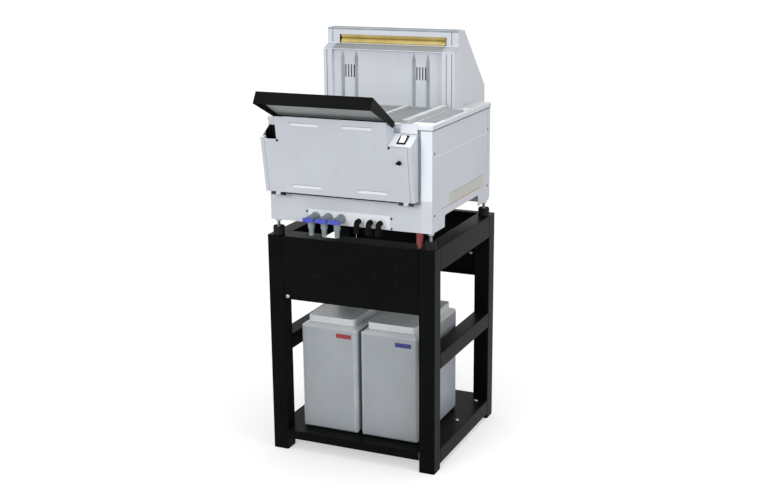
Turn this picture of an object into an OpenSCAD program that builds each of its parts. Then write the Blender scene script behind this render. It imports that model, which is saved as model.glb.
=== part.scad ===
// Film processor on a steel stand. Millimetres, Z up.
// The origin is on the floor, under the middle of the whole machine. X is to the right, Y to the rear.
// Y values in this file count from the stand's middle, and placed() moves each sub-part to the origin.

/* [Stand] */
// Overall width of the stand
stand_w = 650; // [630:5:720]
// Overall depth of the stand
stand_d = 628; // [610:2:700]
// Height of the stand's top
stand_h = 829; // [760:1:900]
// Side of the square tube
tube = 60; // [50:1:64]
// Wall of the tube
tube_wall = 3; // [2:0.5:4]
// Height of the upper side rails
top_rail_h = 84; // [60:1:100]
// Top of the middle side rails
mid_rail_top = 440; // [380:1:470]
// Height of the middle side rails
mid_rail_h = 57; // [40:1:60]
// Height of the lower side rails
low_rail_h = 55; // [40:1:60]
// Top face of the shelf
shelf_top = 78; // [70:1:100]
// Lower edge of the upper front apron
apron_split = 688; // [660:1:720]
// Lower edge of the lower front apron
apron_low = 592; // [570:1:620]
// Lower edge of the rear apron
rear_apron_low = 575; // [560:1:620]
// Thickness of the aprons' sheet steel
apron_t = 2; // [1.5:0.5:3]

/* [Casing] */
// How much narrower the casing is than the stand
body_in = 28; // [10:2:50]
// Sideways offset of the casing from the stand's middle
body_shift = 7; // [0:1:8]
// Front face of the casing, ahead of the stand's middle
body_front = 318; // [310:1:330]
// Depth of the casing
body_d = 586; // [580:1:600]
// Gap between the stand's top and the casing's legs
foot_gap = 61; // [50:1:75]
// Height of the casing from its legs to its top slab
body_h = 356; // [350:1:370]
// Thickness of the top slab
slab_t = 16; // [12:1:20]
// Height of the skirt's cut-out above the legs
skirt_up = 42; // [30:1:46]
// Thickness of the casing's panels
panel_t = 3; // [2:0.5:4]
// Diameter of the levelling screws
foot_screw_d = 12; // [10:1:14]
// Outer diameter of the rubber cups
cup_d = 42; // [38:1:44]

/* [Feed unit] */
// Width of the feed box's left shoulder
left_shoulder_w = 64.5; // [60:0.5:65]
// Width of the feed box's right shoulder
right_shoulder_w = 84.5; // [70:0.5:90]
// How far the foot of the door stands ahead of the casing
feed_reach = 32; // [28:1:40]
// Lean of the door from upright, in degrees
door_lean = 8.9; // [7:0.05:11]
// Width of the door's raised middle
tab_w = 420; // [400:2:424]
// Length of the door from its foot to the top of its middle
tab_len = 279.5; // [270:0.5:290]
// How much wider the feed lid is than the door's raised middle
lid_over = 12; // [8:1:20]
// Length of the feed lid along its lower edge
lid_len = 205.5; // [180:0.5:230]
// Height of the lid's front band
lid_band = 45; // [38:1:50]
// Radius of the lid's pivot pins
lid_pin_r = 4; // [3:0.5:5]
// Radius of the door's hinge pins
door_pin_r = 2.5; // [2:0.25:3]

/* [Transport] */
// Length of the rollers
roller_len = 414; // [380:2:418]
// Radius of the driven rollers
drive_roller_r = 14; // [11:0.5:15]
// Radius of the turning rollers
turn_roller_r = 28; // [20:1:32]
// Radius of the roller shafts
shaft_r = 5; // [4:0.5:6]
// Module of the gears
gear_module = 2.6; // [2.6:0.1:2.6]
// Distance from one processing bay to the next
bay_pitch = 104; // [98:1:105]
// Teeth on a drive gear
drive_teeth = 36; // [36:4:36]
// Teeth on a roller gear
roller_teeth = 18; // [18:4:18]
// Radius of the belt pulleys on the drive gears
pulley_r = 16; // [12:0.5:18]
// Width of the drive belt
belt_w = 8; // [6:1:9]
// Wall of the processing tank
tank_wall = 6; // [4:1:7]

/* [Dryer] */
// Width of the dryer tower
tower_w = 523; // [515:1:530]
// Sideways offset of the tower
tower_shift = -7.5; // [-9:0.5:-4]
// Height of the tower above the casing's top
tower_h = 275; // [265:1:300]
// Radius of the exit rollers
exit_roller_r = 12; // [9:0.5:13]
// Wall of the tower
tower_wall = 3; // [2:0.5:4]

/* [Replenisher tanks] */
// Width of a replenisher tank
jug_w = 230; // [200:1:240]
// Depth of a replenisher tank
jug_d = 400; // [360:2:420]
// Height of a replenisher tank to its shoulders
jug_h = 409; // [360:1:430]
// Wall of a replenisher tank
jug_wall = 4; // [3:0.5:6]

/* [Hidden] */
$fn = 48;

// Clearances: running fits, and gaps between parts that slide or lift past each other
run = 0.05;
slip = 0.3;

// Stand
post_x = stand_w / 2 - tube / 2;
post_y = stand_d / 2 - tube / 2;
bay_x = stand_w / 2 - tube;
bay_y = stand_d / 2 - tube;
shelf_t = 3;
low_rail_top = shelf_top - shelf_t;
shelf_lip = 32;
flange_depth = 79;
apron_setback = 3;
apron_tab = [40, 24];
notch_x = [-132, -66];
notch_depth = 38;
bolt_r = 8;
bolt_head = 5;

// Casing
body_w = stand_w - body_in;
body_l = body_shift - body_w / 2;
body_r = body_shift + body_w / 2;
front_y = -body_front;
rear_y = front_y + body_d;
leg_z = stand_h + foot_gap;
skirt_z = leg_z + skirt_up;
slab_z = leg_z + body_h;
top_z = slab_z + slab_t;
floor_z = leg_z + 46;
floor_t = 4;
leg_front_d = 118;
leg_rear_d = 125;
leg_round = 12;
slab_over = 3;
foot_in = 16;
foot_x = [body_l + foot_in, body_r - foot_in];
foot_y = [front_y + 26, rear_y - 18];
cup_floor = 6;
cup_wall = 6;
cup_h = 32;

// Feed unit: points are [Y, Z] pairs
feed_low = leg_z + 109;
door_foot = [front_y - feed_reach, feed_low];
function door_pt(s, n = 0) =
    door_foot + s * [-sin(door_lean), cos(door_lean)] + n * [cos(door_lean), sin(door_lean)];
door_t = 2.5;
feed_edge = 14;
shoulder_s = 200.5;
shoulder_front = door_pt(shoulder_s, 0);
shoulder_rear = [front_y, leg_z + 341];
tab_mid = -28.5;
tab_l = tab_mid - tab_w / 2;
tab_r = tab_mid + tab_w / 2;
feed_l = tab_l - left_shoulder_w;
feed_r = tab_r + right_shoulder_w;
tab_top = door_pt(tab_len, 0);
cheek_t = 3;
hinge_axis = [door_foot[0] + 1, door_foot[1] - 5.5];
knuckle_r = 5;
knuckle_len = 18;
leaf_t = 4;
hinge_x = [feed_l + 49.5, feed_r - 30];
latch_x = feed_r - 45;
latch_s = 143;
screw_x = [tab_l + 2, tab_r + 4.5];
screw_s = 193;
// Pressed grooves: middles as X and distance up the door, then their length, height and depth
groove_at = [[tab_l + 110.5, 255], [tab_r - 108.5, 255], [tab_l + 100.5, 28], [tab_r - 68.5, 28]];
groove = [110, 11, 3];
table_rear = leg_z + 335;

// Feed lid: a frame that starts at the lower rear corner and runs forward along the lower edge
lid_slope = 24.8;
lid_taper = 6.5;
lid_gap = 1.2;
lid_back = 61;
lid_dir = [-cos(lid_slope), sin(lid_slope)];
lid_up = [sin(lid_slope), cos(lid_slope)];
lid_start = tab_top + [0, lid_gap] - lid_back * lid_dir;
function lid_pt(t, n) = lid_start + t * lid_dir + n * lid_up;
lid_top_dir = [-cos(lid_slope + lid_taper), sin(lid_slope + lid_taper)];
lid_top_up = [sin(lid_slope + lid_taper), cos(lid_slope + lid_taper)];
lid_a = lid_pt(lid_len, 0);
lid_b = lid_a + lid_band * lid_top_up;
lid_c = lid_b - (lid_len + 3) * lid_top_dir;
lid_t = 3;
lid_pivot = lid_pt(-3, 9.6);
lid_mid = tab_mid - 2;
lid_w = tab_w + lid_over;
lid_l = lid_mid - lid_w / 2;
lid_r = lid_mid + lid_w / 2;
liner_up = 24;
liner_t = 2;
ear_r = 8;

// Power switch on the right shoulder
switch_size = [32, 46];
switch_mid = [feed_r - 41, (shoulder_front[0] + shoulder_rear[0]) / 2];
rocker_pin_r = 2;
rocker_w = switch_size[0] - 13;
shoulder_slope = atan((shoulder_rear[1] - shoulder_front[1]) / (shoulder_rear[0] - shoulder_front[0]));
function shoulder_z(y) = shoulder_front[1] + (y - shoulder_front[0]) * tan(shoulder_slope);
rocker_tilt = 8;

// Service plate with the valves
plate_x = [-152, 162];
plate_z = [leg_z + 2, leg_z + 51];
plate_t = 2;
valve_x = [-123, -73, -23];
valve_z = leg_z + 25;
valve_r = 14;
valve_reach = 52;
spigot_r = 9;
spigot_z = leg_z - 35;
handle_size = [42, 11, 14];
handle_stem_r = 5;
inlet_x = [49, 94, 131];

// Top: pockets that hold the covers, as X and Y ranges
pocket_t = 4;
rebate = 6;
main_x = [body_l + 16, 231];
main_y = [front_y + 26, 50];
service_x = [237, body_r - 15];
service_y = [front_y + 56, 50];
rib_a_x = [72, 86];
rib_b_x = [-100, -86];
rib_c_x = [206, 230];
rib_h = 8;
rib_c_h = 14;

// Transport
path_mid = -7;
roll_l = path_mid - roller_len / 2;
roll_r = path_mid + roller_len / 2;
rack_y = [-211, -211 + bay_pitch, -211 + 2 * bay_pitch];
drive_pitch_r = drive_teeth * gear_module / 2;
roller_pitch_r = roller_teeth * gear_module / 2;
drive_z = floor_z + floor_t + 208;
drive_roller_z = drive_z + drive_pitch_r + roller_pitch_r;
plate_gap = 3;
rack_plate_t = 5;
rack_l = roll_l - plate_gap;
rack_r = roll_r + plate_gap;
rack_half = 44;
rack_top = drive_roller_z + 16;
tank_z = floor_z + floor_t;
tank_half = bay_pitch / 2 - tank_wall / 2;
trough_z = tank_z + tank_wall + tank_half;
tank_in_l = rack_l - rack_plate_t - 6;
tank_in_r = rack_r + rack_plate_t + 6;
tank_l = tank_in_l - tank_wall;
tank_r = tank_in_r + tank_wall;
tank_top = drive_roller_z - 11.4;
gear_w = 12;
gear_l = tank_l - 28;
axle_r = 6;
belt_t = 2;
belt_l = gear_l + gear_w + 1;
axle_end = belt_l + belt_w + 3;
drive_plate_x = [gear_l - 10, gear_l - 6];
motor_r = 35;

// Dryer tower: points are [Y, Z] pairs
tower_l = tower_shift - tower_w / 2;
tower_r = tower_shift + tower_w / 2;
tower_front = 56;
upper_front = 97;
tower_top = top_z + tower_h;
ledge_low = tower_top - 74;
ledge_high = tower_top - 57;
crown_d = 60;
slant_bottom = top_z + 47;
tower_rear = rear_y + 114;
tower_floor = top_z - 142;
recess_x = [tower_l + 35, tower_r - 50];
recess_d = 14;
slot_x = [tower_l + 49, tower_r - 48];
slot_z = [tower_top - 56, tower_top - 25];
nip_z = tower_top - 39;
exit_y = upper_front + tower_wall + exit_roller_r + 1;
exit_low_z = nip_z - exit_roller_r - run;
exit_high_z = nip_z + exit_roller_r + run;
exit_shaft_r = 4;
vent_x = [recess_x[0] + 67, recess_x[1] - 85];
vent_rib = 6;
line_w = 2.5;
line_d = 1.5;
vent_z = [tower_top - 179, tower_top - 132];
fan_z = top_z - 60;
fan_r = 56;
fan_size = 128;
fan_d = 36;
fan_y = tower_rear - tower_wall - slip - fan_d;

// Replenisher tanks
jug_front = -255;
jug_gap = 10;
jug_mid = 3;
jug_x = [jug_mid - (jug_gap + jug_w) / 2, jug_mid + (jug_gap + jug_w) / 2];
jug_top = shelf_top + slip + jug_h;
jug_round = 22;
jug_slope = [20, 10];
mouth_in = [24.5, 30.5];
neck_h = 19;
lid_plate_t = 8;
lid_skirt_t = 4;

// Middle of the whole machine, from the front edge of the lid to the rear of the tower
mid_y = (lid_a[0] + tower_rear) / 2;
module placed() {
    translate([0, -mid_y, 0])
        children();
}

// A box between two corners given as ranges
module block(x, y, z) {
    translate([x[0], y[0], z[0]])
        cube([x[1] - x[0], y[1] - y[0], z[1] - z[0]]);
}

// A plate with a [Y, Z] outline between two X values
module side_plate(points, x) {
    translate([x[0], 0, 0])
        rotate([90, 0, 90])
            linear_extrude(x[1] - x[0])
                polygon(points);
}

// Round bars along X, Y and Z
module bar_x(x, y, z, r) {
    translate([x[0], y, z])
        rotate([0, 90, 0])
            cylinder(h = x[1] - x[0], r = r);
}

module bar_y(x, y, z, r) {
    translate([x, y[1], z])
        rotate([90, 0, 0])
            cylinder(h = y[1] - y[0], r = r);
}

module bar_z(x, y, z, r) {
    translate([x, y, z[0]])
        cylinder(h = z[1] - z[0], r = r);
}

// A rectangle with round corners, centred
module round_rect(w, h, r) {
    union() {
        square([w - 2 * r, h], center = true);
        square([w, h - 2 * r], center = true);
        for (x = [-1, 1], y = [-1, 1])
            translate([x * (w / 2 - r), y * (h / 2 - r)])
                circle(r = r);
    }
}

// Rectangular tube along Y, from corner x, z
module tube_y(x, y, z, wall) {
    difference() {
        block(x, y, z);
        block([x[0] + wall, x[1] - wall], [y[0] - 1, y[1] + 1], [z[0] + wall, z[1] - wall]);
    }
}

// Involute gear outline with its first tooth at the angle turn
pressure = 20;
gear_play = 0.12;
function inv_deg(a) = tan(a) * 180 / PI - a;
function half_angle(r, n, m) =
    let (rp = n * m / 2, rb = rp * cos(pressure), a = acos(min(1, rb / max(r, rb))))
    90 / n + inv_deg(pressure) - inv_deg(a) - gear_play / r * 180 / PI;
function gear_radii(n, m) =
    [n * m / 2 - 1.25 * m, n * m / 2 - 0.5 * m, n * m / 2 + 0.3 * m, n * m / 2 + 0.95 * m];
function tooth(n, m, mid) =
    let (rs = gear_radii(n, m))
    concat([for (r = rs) let (a = mid - half_angle(r, n, m)) r * [cos(a), sin(a)]],
        [for (i = [3:-1:0]) let (a = mid + half_angle(rs[i], n, m)) rs[i] * [cos(a), sin(a)]]);
function gear_points(n, m, turn) = [for (i = [0:n - 1]) each tooth(n, m, turn + i * 360 / n)];

// A gear in the Y-Z plane, from x[0] to x[1], round the axis y, z
module gear_disc(x, y, z, n, turn) {
    translate([x[0], y, z])
        rotate([90, 0, 90])
            linear_extrude(x[1] - x[0])
                polygon(gear_points(n, gear_module, turn));
}

module stand_posts() {
    color("#1b1c1d") placed()
        for (x = [-post_x, post_x], y = [-post_y, post_y])
            difference() {
                block([x - tube / 2, x + tube / 2], [y - tube / 2, y + tube / 2], [0, stand_h]);
                block([x - tube / 2 + tube_wall, x + tube / 2 - tube_wall],
                    [y - tube / 2 + tube_wall, y + tube / 2 - tube_wall], [-1, stand_h - tube_wall]);
            }
}

module side_rails() {
    color("#1f2021") placed()
        for (side = [-1, 1]) {
            x = side < 0 ? [-stand_w / 2, -bay_x] : [bay_x, stand_w / 2];
            tube_y(x, [-bay_y, bay_y], [stand_h - top_rail_h, stand_h], tube_wall);
            tube_y(x, [-bay_y, bay_y], [mid_rail_top - mid_rail_h, mid_rail_top], tube_wall);
            tube_y(x, [-bay_y, bay_y], [low_rail_top - low_rail_h, low_rail_top], tube_wall);
        }
}

// Upper apron with its top flange, notched for the hoses, and the lower apron behind its edge
module front_aprons() {
    front = -stand_d / 2;
    color("#161718") placed() {
        difference() {
            union() {
                block([-bay_x, bay_x], [front, front + apron_t], [apron_split, stand_h]);
                block([-bay_x, bay_x], [front, front + flange_depth], [stand_h - apron_t, stand_h]);
                block([-bay_x, bay_x], [front, front + 20], [apron_split, apron_split + apron_t]);
                for (x = [-bay_x, bay_x - apron_tab[0]])
                    block([x, x + apron_tab[0]], [front, front + apron_setback],
                        [apron_split - apron_tab[1], apron_split]);
            }
            block(notch_x, [front + flange_depth - notch_depth, front + flange_depth + 1],
                [stand_h - apron_t - 1, stand_h + 1]);
        }
        block([-bay_x, bay_x], [front + apron_setback, front + apron_setback + apron_t],
            [apron_low, apron_split]);
        block([-bay_x, bay_x], [front + apron_setback, front + 25], [apron_low, apron_low + apron_t]);
    }
}

module rear_apron() {
    back = stand_d / 2;
    color("#161718") placed() {
        block([-bay_x, bay_x], [back - apron_t, back], [rear_apron_low, stand_h]);
        block([-bay_x, bay_x], [back - 30, back], [stand_h - apron_t, stand_h]);
        block([-bay_x, bay_x], [back - 20, back], [rear_apron_low, rear_apron_low + apron_t]);
    }
}

// Shelf on the lower rails, cut round the posts, with a lip at the front and the rear
module shelf() {
    front = -stand_d / 2;
    color("#222324") placed() {
        block([-stand_w / 2, stand_w / 2], [-bay_y, bay_y], [low_rail_top, shelf_top]);
        block([-bay_x, bay_x], [front, -front], [low_rail_top, shelf_top]);
        block([-bay_x, bay_x], [front, front + shelf_t], [shelf_top - shelf_lip, shelf_top]);
        block([-bay_x, bay_x], [-front - shelf_t, -front], [shelf_top - shelf_lip, shelf_top]);
    }
}

// Round-headed bolts through the shelf, the lower front apron and the rear apron
module stand_bolts() {
    front = -stand_d / 2;
    color("#8d8f90") placed() {
        for (x = [-1, 1], y = [18, 233])
            bar_z(x * (bay_x + 21), y, [shelf_top, shelf_top + bolt_head], bolt_r);
        bar_y(15 - bay_x, [front + apron_setback - bolt_head, front + apron_setback], apron_low + 11, bolt_r);
        for (x = [-1, 1])
            bar_y(x * 231, [-front - apron_t - bolt_head, -front - apron_t], rear_apron_low + 84, bolt_r);
    }
}

// Floor, two foot beams and the plate that carries the gears
module chassis() {
    in_l = body_l + panel_t;
    in_r = body_r - panel_t;
    in_f = front_y + panel_t;
    in_b = rear_y - panel_t;
    beam = 53;
    color("#9a9d9f") placed()
        difference() {
            union() {
                block([in_l, in_r], [in_f, in_b], [floor_z, floor_z + floor_t]);
                for (y = [[in_f, in_f + beam], [in_b - beam, in_b]])
                    block([in_l, in_r], y, [leg_z, leg_z + panel_t]);
                for (y = [in_f + beam, in_b - beam])
                    block([in_l, in_r], [y - 1.5, y + 1.5], [leg_z, floor_z]);
                block(drive_plate_x, [rack_y[0] - 58, rack_y[2] + 58], [floor_z, tank_top]);
                for (y = [rack_y[0], rack_y[2]])
                    bar_x([drive_plate_x[0], axle_end], y, drive_z, axle_r);
            }
            for (x = foot_x, y = foot_y)
                bar_z(x, y, [leg_z - 1, leg_z + panel_t + 1], foot_screw_d / 2 + run);
            bar_x([drive_plate_x[0] - 1, drive_plate_x[1] + 1], rack_y[1], drive_z, axle_r + 2);
        }
}

// Outline of a side panel: a leg at each end and a raised skirt between them
module panel_outline() {
    front = front_y + panel_t;
    back = rear_y;
    a = front_y + leg_front_d;
    b = rear_y - leg_rear_d;
    difference() {
        translate([front, leg_z])
            square([back - front, body_h]);
        translate([a, leg_z - 1])
            square([b - a, skirt_up - leg_round + 1]);
        translate([a + leg_round, leg_z])
            square([b - a - 2 * leg_round, skirt_up]);
        for (y = [a + leg_round, b - leg_round])
            translate([y, skirt_z - leg_round])
                circle(r = leg_round);
        translate([back - leg_round, leg_z - 1])
            polygon([[0, 0], [leg_round + 1, 0], [leg_round + 1, leg_round + 1], [leg_round, leg_round + 1]]);
    }
}

module side_panel(x) {
    translate([x, 0, 0])
        rotate([90, 0, 90])
            linear_extrude(panel_t)
                panel_outline();
}

module left_side_panel() {
    color("#c9ccd1") placed()
        side_panel(body_l);
}

module right_side_panel() {
    color("#c9ccd1") placed()
        side_panel(body_r - panel_t);
}

// Front face with the feed box's pocket, the film's way in above it and the service plate's window
pocket_side = 10;
module front_panel() {
    color("#ccd0d5") placed()
        difference() {
            block([body_l, body_r], [front_y, front_y + panel_t], [leg_z, slab_z]);
            block([feed_l + pocket_side, feed_r + 1], [front_y - 1, front_y + panel_t + 1],
                [feed_low - pocket_side, shoulder_rear[1] + slip]);
            block([feed_r, feed_r + pocket_side], [front_y - 1, front_y + panel_t + 1],
                [feed_low - pocket_side, slab_z + 1]);
            block([tab_l + 2, feed_r + 1], [front_y - 1, front_y + panel_t + 1], [table_rear, slab_z + 1]);
            block([plate_x[0] + 12, plate_x[1] - 12], [front_y - 1, front_y + panel_t + 1],
                [plate_z[0] + 5, plate_z[1] - 8]);
        }
}

inlet_mid = [230, leg_z + 90];
module rear_panel() {
    color("#c4c7cb") placed()
        difference() {
            block([body_l + panel_t, body_r - panel_t], [rear_y - panel_t, rear_y], [skirt_z, slab_z]);
            block([inlet_mid[0] - 16, inlet_mid[0] + 16], [rear_y - panel_t - 1, rear_y + 1],
                [inlet_mid[1] - 12, inlet_mid[1] + 12]);
        }
}

// Top slab with the pockets for its covers and the opening under the dryer
module top_frame() {
    color("#d6d9dc") placed()
        difference() {
            union() {
                block([body_l - slab_over, body_r + slab_over], [front_y, rear_y], [slab_z, top_z]);
                block([feed_r - 62, feed_r], [front_y - 4, front_y], [shoulder_rear[1] + slip, top_z + 3]);
                block([feed_r - 62, feed_r], [front_y - 1, front_y + 1.5], [slab_z, top_z + 3]);
                for (y = [front_y + 8, front_y + 30])
                    block([246, body_r - 8], [y, y + 12], [top_z, top_z + 3]);
                block([body_r - 14, body_r], [12, 40], [top_z, top_z + 8]);
            }
            block(main_x, main_y, [top_z - pocket_t, top_z + 1]);
            block([main_x[0] + rebate, main_x[1] - rebate], [main_y[0] + rebate, main_y[1] - rebate],
                [slab_z - 1, top_z]);
            block(service_x, service_y, [top_z - pocket_t, top_z + 1]);
            block([service_x[0] + rebate, service_x[1] - rebate],
                [service_y[0] + rebate, service_y[1] - rebate], [slab_z - 1, top_z]);
            block([tower_l + 8, tower_r - 8], [tower_front + 24, rear_y - 12], [slab_z - 1, top_z + 1]);
        }
}

// Levelling screws with their foot discs, and the hexagon nuts that lock them
module levelling_feet() {
    nut_h = 10;
    color("#a8abad") placed()
        for (x = foot_x, y = foot_y) {
            bar_z(x, y, [stand_h + cup_floor, leg_z + 25], foot_screw_d / 2);
            bar_z(x, y, [stand_h + cup_floor, stand_h + cup_floor + 8], cup_d / 2 - cup_wall - 1);
            difference() {
                translate([x, y, leg_z - nut_h])
                    cylinder(h = nut_h, r = foot_screw_d, $fn = 6);
                bar_z(x, y, [leg_z - nut_h - 1, leg_z + 1], foot_screw_d / 2 + run);
            }
        }
}

module rubber_cups() {
    color("#0e0e0f") placed()
        for (x = foot_x, y = foot_y)
            difference() {
                bar_z(x, y, [stand_h, stand_h + cup_h], cup_d / 2);
                bar_z(x, y, [stand_h + cup_floor, stand_h + cup_h + 1], cup_d / 2 - cup_wall);
            }
}

// Three-pin appliance inlet in the rear panel
module mains_inlet() {
    x = inlet_mid[0];
    z = inlet_mid[1];
    color("#1a1a1a") placed() {
        difference() {
            union() {
                block([x - 25, x + 25], [rear_y, rear_y + 3], [z - 14, z + 14]);
                block([x - 15.5, x + 15.5], [rear_y - 24, rear_y + 3], [z - 11.5, z + 11.5]);
            }
            block([x - 13, x + 13], [rear_y - 18, rear_y + 4], [z - 9, z + 9]);
        }
        for (p = [[-7, -2], [0, 3], [7, -2]])
            block([x + p[0] - 1, x + p[0] + 1], [rear_y - 19, rear_y - 3], [z + p[1] - 2, z + p[1] + 2]);
    }
}

// Small round-headed screws in the casing
module case_screws() {
    head = 2;
    r = 4;
    color("#3a3b3d") placed() {
        for (x = [plate_x[0] - 7, plate_x[1] + 5], z = [plate_z[0] + 3, plate_z[1] - 10])
            bar_y(x, [front_y - head, front_y], z, r);
        for (y = [front_y + 20, rear_y - 30], z = [leg_z + 60, leg_z + 275]) {
            bar_x([body_r, body_r + head], y, z, r);
            bar_x([body_l - head, body_l], y, z, r);
        }
        for (x = [body_l + 40, body_r - 40], z = [skirt_z + 20, skirt_z + 150])
            bar_y(x, [rear_y, rear_y + head], z, r);
    }
}

// Feed box: walls, bottom, back plate, right shoulder, cheeks and the sloping feed table
module feed_box() {
    back = front_y + panel_t;
    inner = door_t + 0.5;
    side = [door_pt(1, inner), door_pt(shoulder_s - 4, inner), shoulder_front + [6, 0], shoulder_rear];
    cheek = [[back, feed_low + 180], door_pt(shoulder_s - 14, inner), door_pt(tab_len - 4, inner),
        [lid_pivot[0] - ear_r, lid_pt(-3, 0)[1] + 2], [lid_pivot[0] + ear_r, shoulder_rear[1]],
        [back, shoulder_rear[1]]];
    post = [door_pt(0.5, 0), door_pt(shoulder_s, 0), door_pt(shoulder_s, 20), door_pt(0.5, 20)];
    stop = [door_pt(2, inner), door_pt(shoulder_s - 4, inner), door_pt(shoulder_s - 4, inner + 3),
        door_pt(2, inner + 3)];
    table = [door_pt(tab_len - 10, inner), [back, table_rear], [back, table_rear - 2.5],
        door_pt(tab_len - 12.5, inner)];
    shoulder = [shoulder_front, shoulder_rear, shoulder_rear - [0, 3], door_pt(shoulder_s - 3, 0)];
    color("#cfd2d6") placed()
        difference() {
            union() {
                side_plate(concat(side, [[front_y, feed_low]]), [feed_l, feed_l + 3]);
                side_plate(concat(side, [[back, shoulder_rear[1]], [back, feed_low]]), [feed_r - 3, feed_r]);
                side_plate(post, [feed_l, feed_l + feed_edge - 0.5]);
                side_plate(post, [feed_r - feed_edge + 0.5, feed_r]);
                side_plate(stop, [feed_l + feed_edge - 1, feed_l + feed_edge + 6]);
                side_plate(stop, [feed_r - feed_edge - 6, feed_r - feed_edge + 1]);
                side_plate(cheek, [tab_l - cheek_t, tab_l]);
                side_plate(cheek, [tab_r - cheek_t, tab_r]);
                side_plate(table, [tab_l - 1, tab_r - 1]);
                side_plate(shoulder, [tab_r + 0.5, feed_r]);
                block([feed_l, feed_r], [door_pt(1, inner)[0], front_y], [feed_low, feed_low + 3]);
                block([feed_l + pocket_side + 1, feed_r], [front_y - 1, back], [feed_low, feed_low + 3]);
                for (x = [[tab_l - cheek_t, tab_l], [tab_r - cheek_t, tab_r]]) {
                    bar_x(x, lid_pivot[0], lid_pivot[1], ear_r);
                    block(x, [lid_pivot[0] - ear_r, lid_pivot[0] + ear_r],
                        [lid_pivot[1] - 30, lid_pivot[1]]);
                }
                block([feed_l + pocket_side / 2, feed_r + 1.5 * pocket_side], [back, back + 3],
                    [feed_low - 1.5 * pocket_side, shoulder_rear[1]]);
                block([tab_r - 5, feed_r + 1.5 * pocket_side], [back, back + 3],
                    [shoulder_rear[1] - 1, slab_z - slip]);
            }
            block([tab_l + 2, tab_r - 5], [back - 1, back + 4], [table_rear, shoulder_rear[1] + 1]);
            bar_x([tab_l - cheek_t - 1, tab_r + 1], lid_pivot[0], lid_pivot[1], lid_pin_r + run);
            translate([switch_mid[0], switch_mid[1], shoulder_z(switch_mid[1])])
                rotate([shoulder_slope, 0, 0])
                    cube([switch_size[0] - 5, switch_size[1] - 5, 12], center = true);
        }
}

// Door panel: full width below, a raised middle above, and four pressed grooves
module front_door() {
    wide = [feed_l + feed_edge + 0.5, feed_r - feed_edge - 0.5];
    color("#cfd3d8") placed()
        difference() {
            union() {
                side_plate([door_pt(1, 0), door_pt(shoulder_s - 4, 0), door_pt(shoulder_s - 4, door_t),
                    door_pt(1, door_t)], wide);
                side_plate([door_pt(shoulder_s - 5, 0), tab_top, door_pt(tab_len, door_t),
                    door_pt(shoulder_s - 5, door_t)], [tab_l, tab_r]);
                for (p = groove_at)
                    side_plate([door_pt(p[1] - groove[1] / 2, door_t - 0.5),
                        door_pt(p[1] + groove[1] / 2 - 3, groove[2] + 1.5),
                        door_pt(p[1] + groove[1] / 2 + 1.5, groove[2] + 1.5),
                        door_pt(p[1] + groove[1] / 2 + 1.5, door_t - 0.5)],
                        [p[0] - groove[0] / 2 - 1.5, p[0] + groove[0] / 2 + 1.5]);
                for (x = hinge_x) {
                    bar_x([x - knuckle_len / 2, x + knuckle_len / 2], hinge_axis[0], hinge_axis[1],
                        knuckle_r);
                    side_plate([hinge_axis + [-2, 0], door_pt(4, 0), door_pt(4, door_t),
                        hinge_axis + [2, 0]], [x - knuckle_len / 2, x + knuckle_len / 2]);
                }
            }
            for (p = groove_at)
                side_plate([door_pt(p[1] - groove[1] / 2, -1), door_pt(p[1] - groove[1] / 2, 0),
                    door_pt(p[1] + groove[1] / 2 - 3, groove[2]), door_pt(p[1] + groove[1] / 2, groove[2]),
                    door_pt(p[1] + groove[1] / 2, -1)], [p[0] - groove[0] / 2, p[0] + groove[0] / 2]);
            for (x = hinge_x)
                bar_x([x - knuckle_len, x + knuckle_len], hinge_axis[0], hinge_axis[1], door_pin_r + run);
            translate([latch_x, door_pt(latch_s, 0)[0], door_pt(latch_s, 0)[1]])
                rotate([90 + door_lean, 0, 0])
                    cylinder(h = 20, r = 4 + run, center = true);
        }
}

// Fixed knuckles with their pins, on one long leaf under the feed box
module door_hinges() {
    color("#2b2c2e") placed() {
        block([hinge_x[0] + 1.4 * knuckle_len, hinge_x[1] - 1.4 * knuckle_len],
            [hinge_axis[0] + 3, hinge_axis[0] + 26], [feed_low - leaf_t, feed_low]);
        for (x = hinge_x) {
            for (side = [-1, 1]) {
                a = x + side * (knuckle_len / 2 + slip);
                b = a + side * knuckle_len;
                range = [min(a, b), max(a, b)];
                bar_x(range, hinge_axis[0], hinge_axis[1], knuckle_r);
                block(range, [hinge_axis[0], hinge_axis[0] + 26], [feed_low - leaf_t, feed_low]);
            }
            bar_x([x - 1.5 * knuckle_len, x + 1.5 * knuckle_len], hinge_axis[0], hinge_axis[1], door_pin_r);
            block([x - 1.5 * knuckle_len, x + 1.5 * knuckle_len],
                [hinge_axis[0] + 12, hinge_axis[0] + 26], [feed_low - leaf_t, feed_low]);
        }
    }
}

// Latch knob with a grip bar, its spindle through the door and the cam behind
module door_latch() {
    p = door_pt(latch_s, 0);
    color("#141414") placed()
        translate([latch_x, p[0], p[1]])
            rotate([90 + door_lean, 0, 0]) {
                translate([0, 0, slip])
                    cylinder(h = 5, r = 7.5);
                translate([-9, -2.5, 4])
                    cube([18, 5, 9]);
                translate([0, 0, -door_t - 7])
                    cylinder(h = door_t + 8, r = 4);
                translate([-6, -4, -door_t - 7])
                    cube([12, 33.5, 2]);
            }
}

// Two black screws at the foot of the door's raised middle
module door_screws() {
    color("#101010") placed()
        for (x = screw_x)
            translate([x, door_pt(screw_s, 0)[0], door_pt(screw_s, 0)[1]])
                rotate([90 + door_lean, 0, 0])
                    translate([0, 0, run])
                        cylinder(h = 3, r = 4);
}

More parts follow.
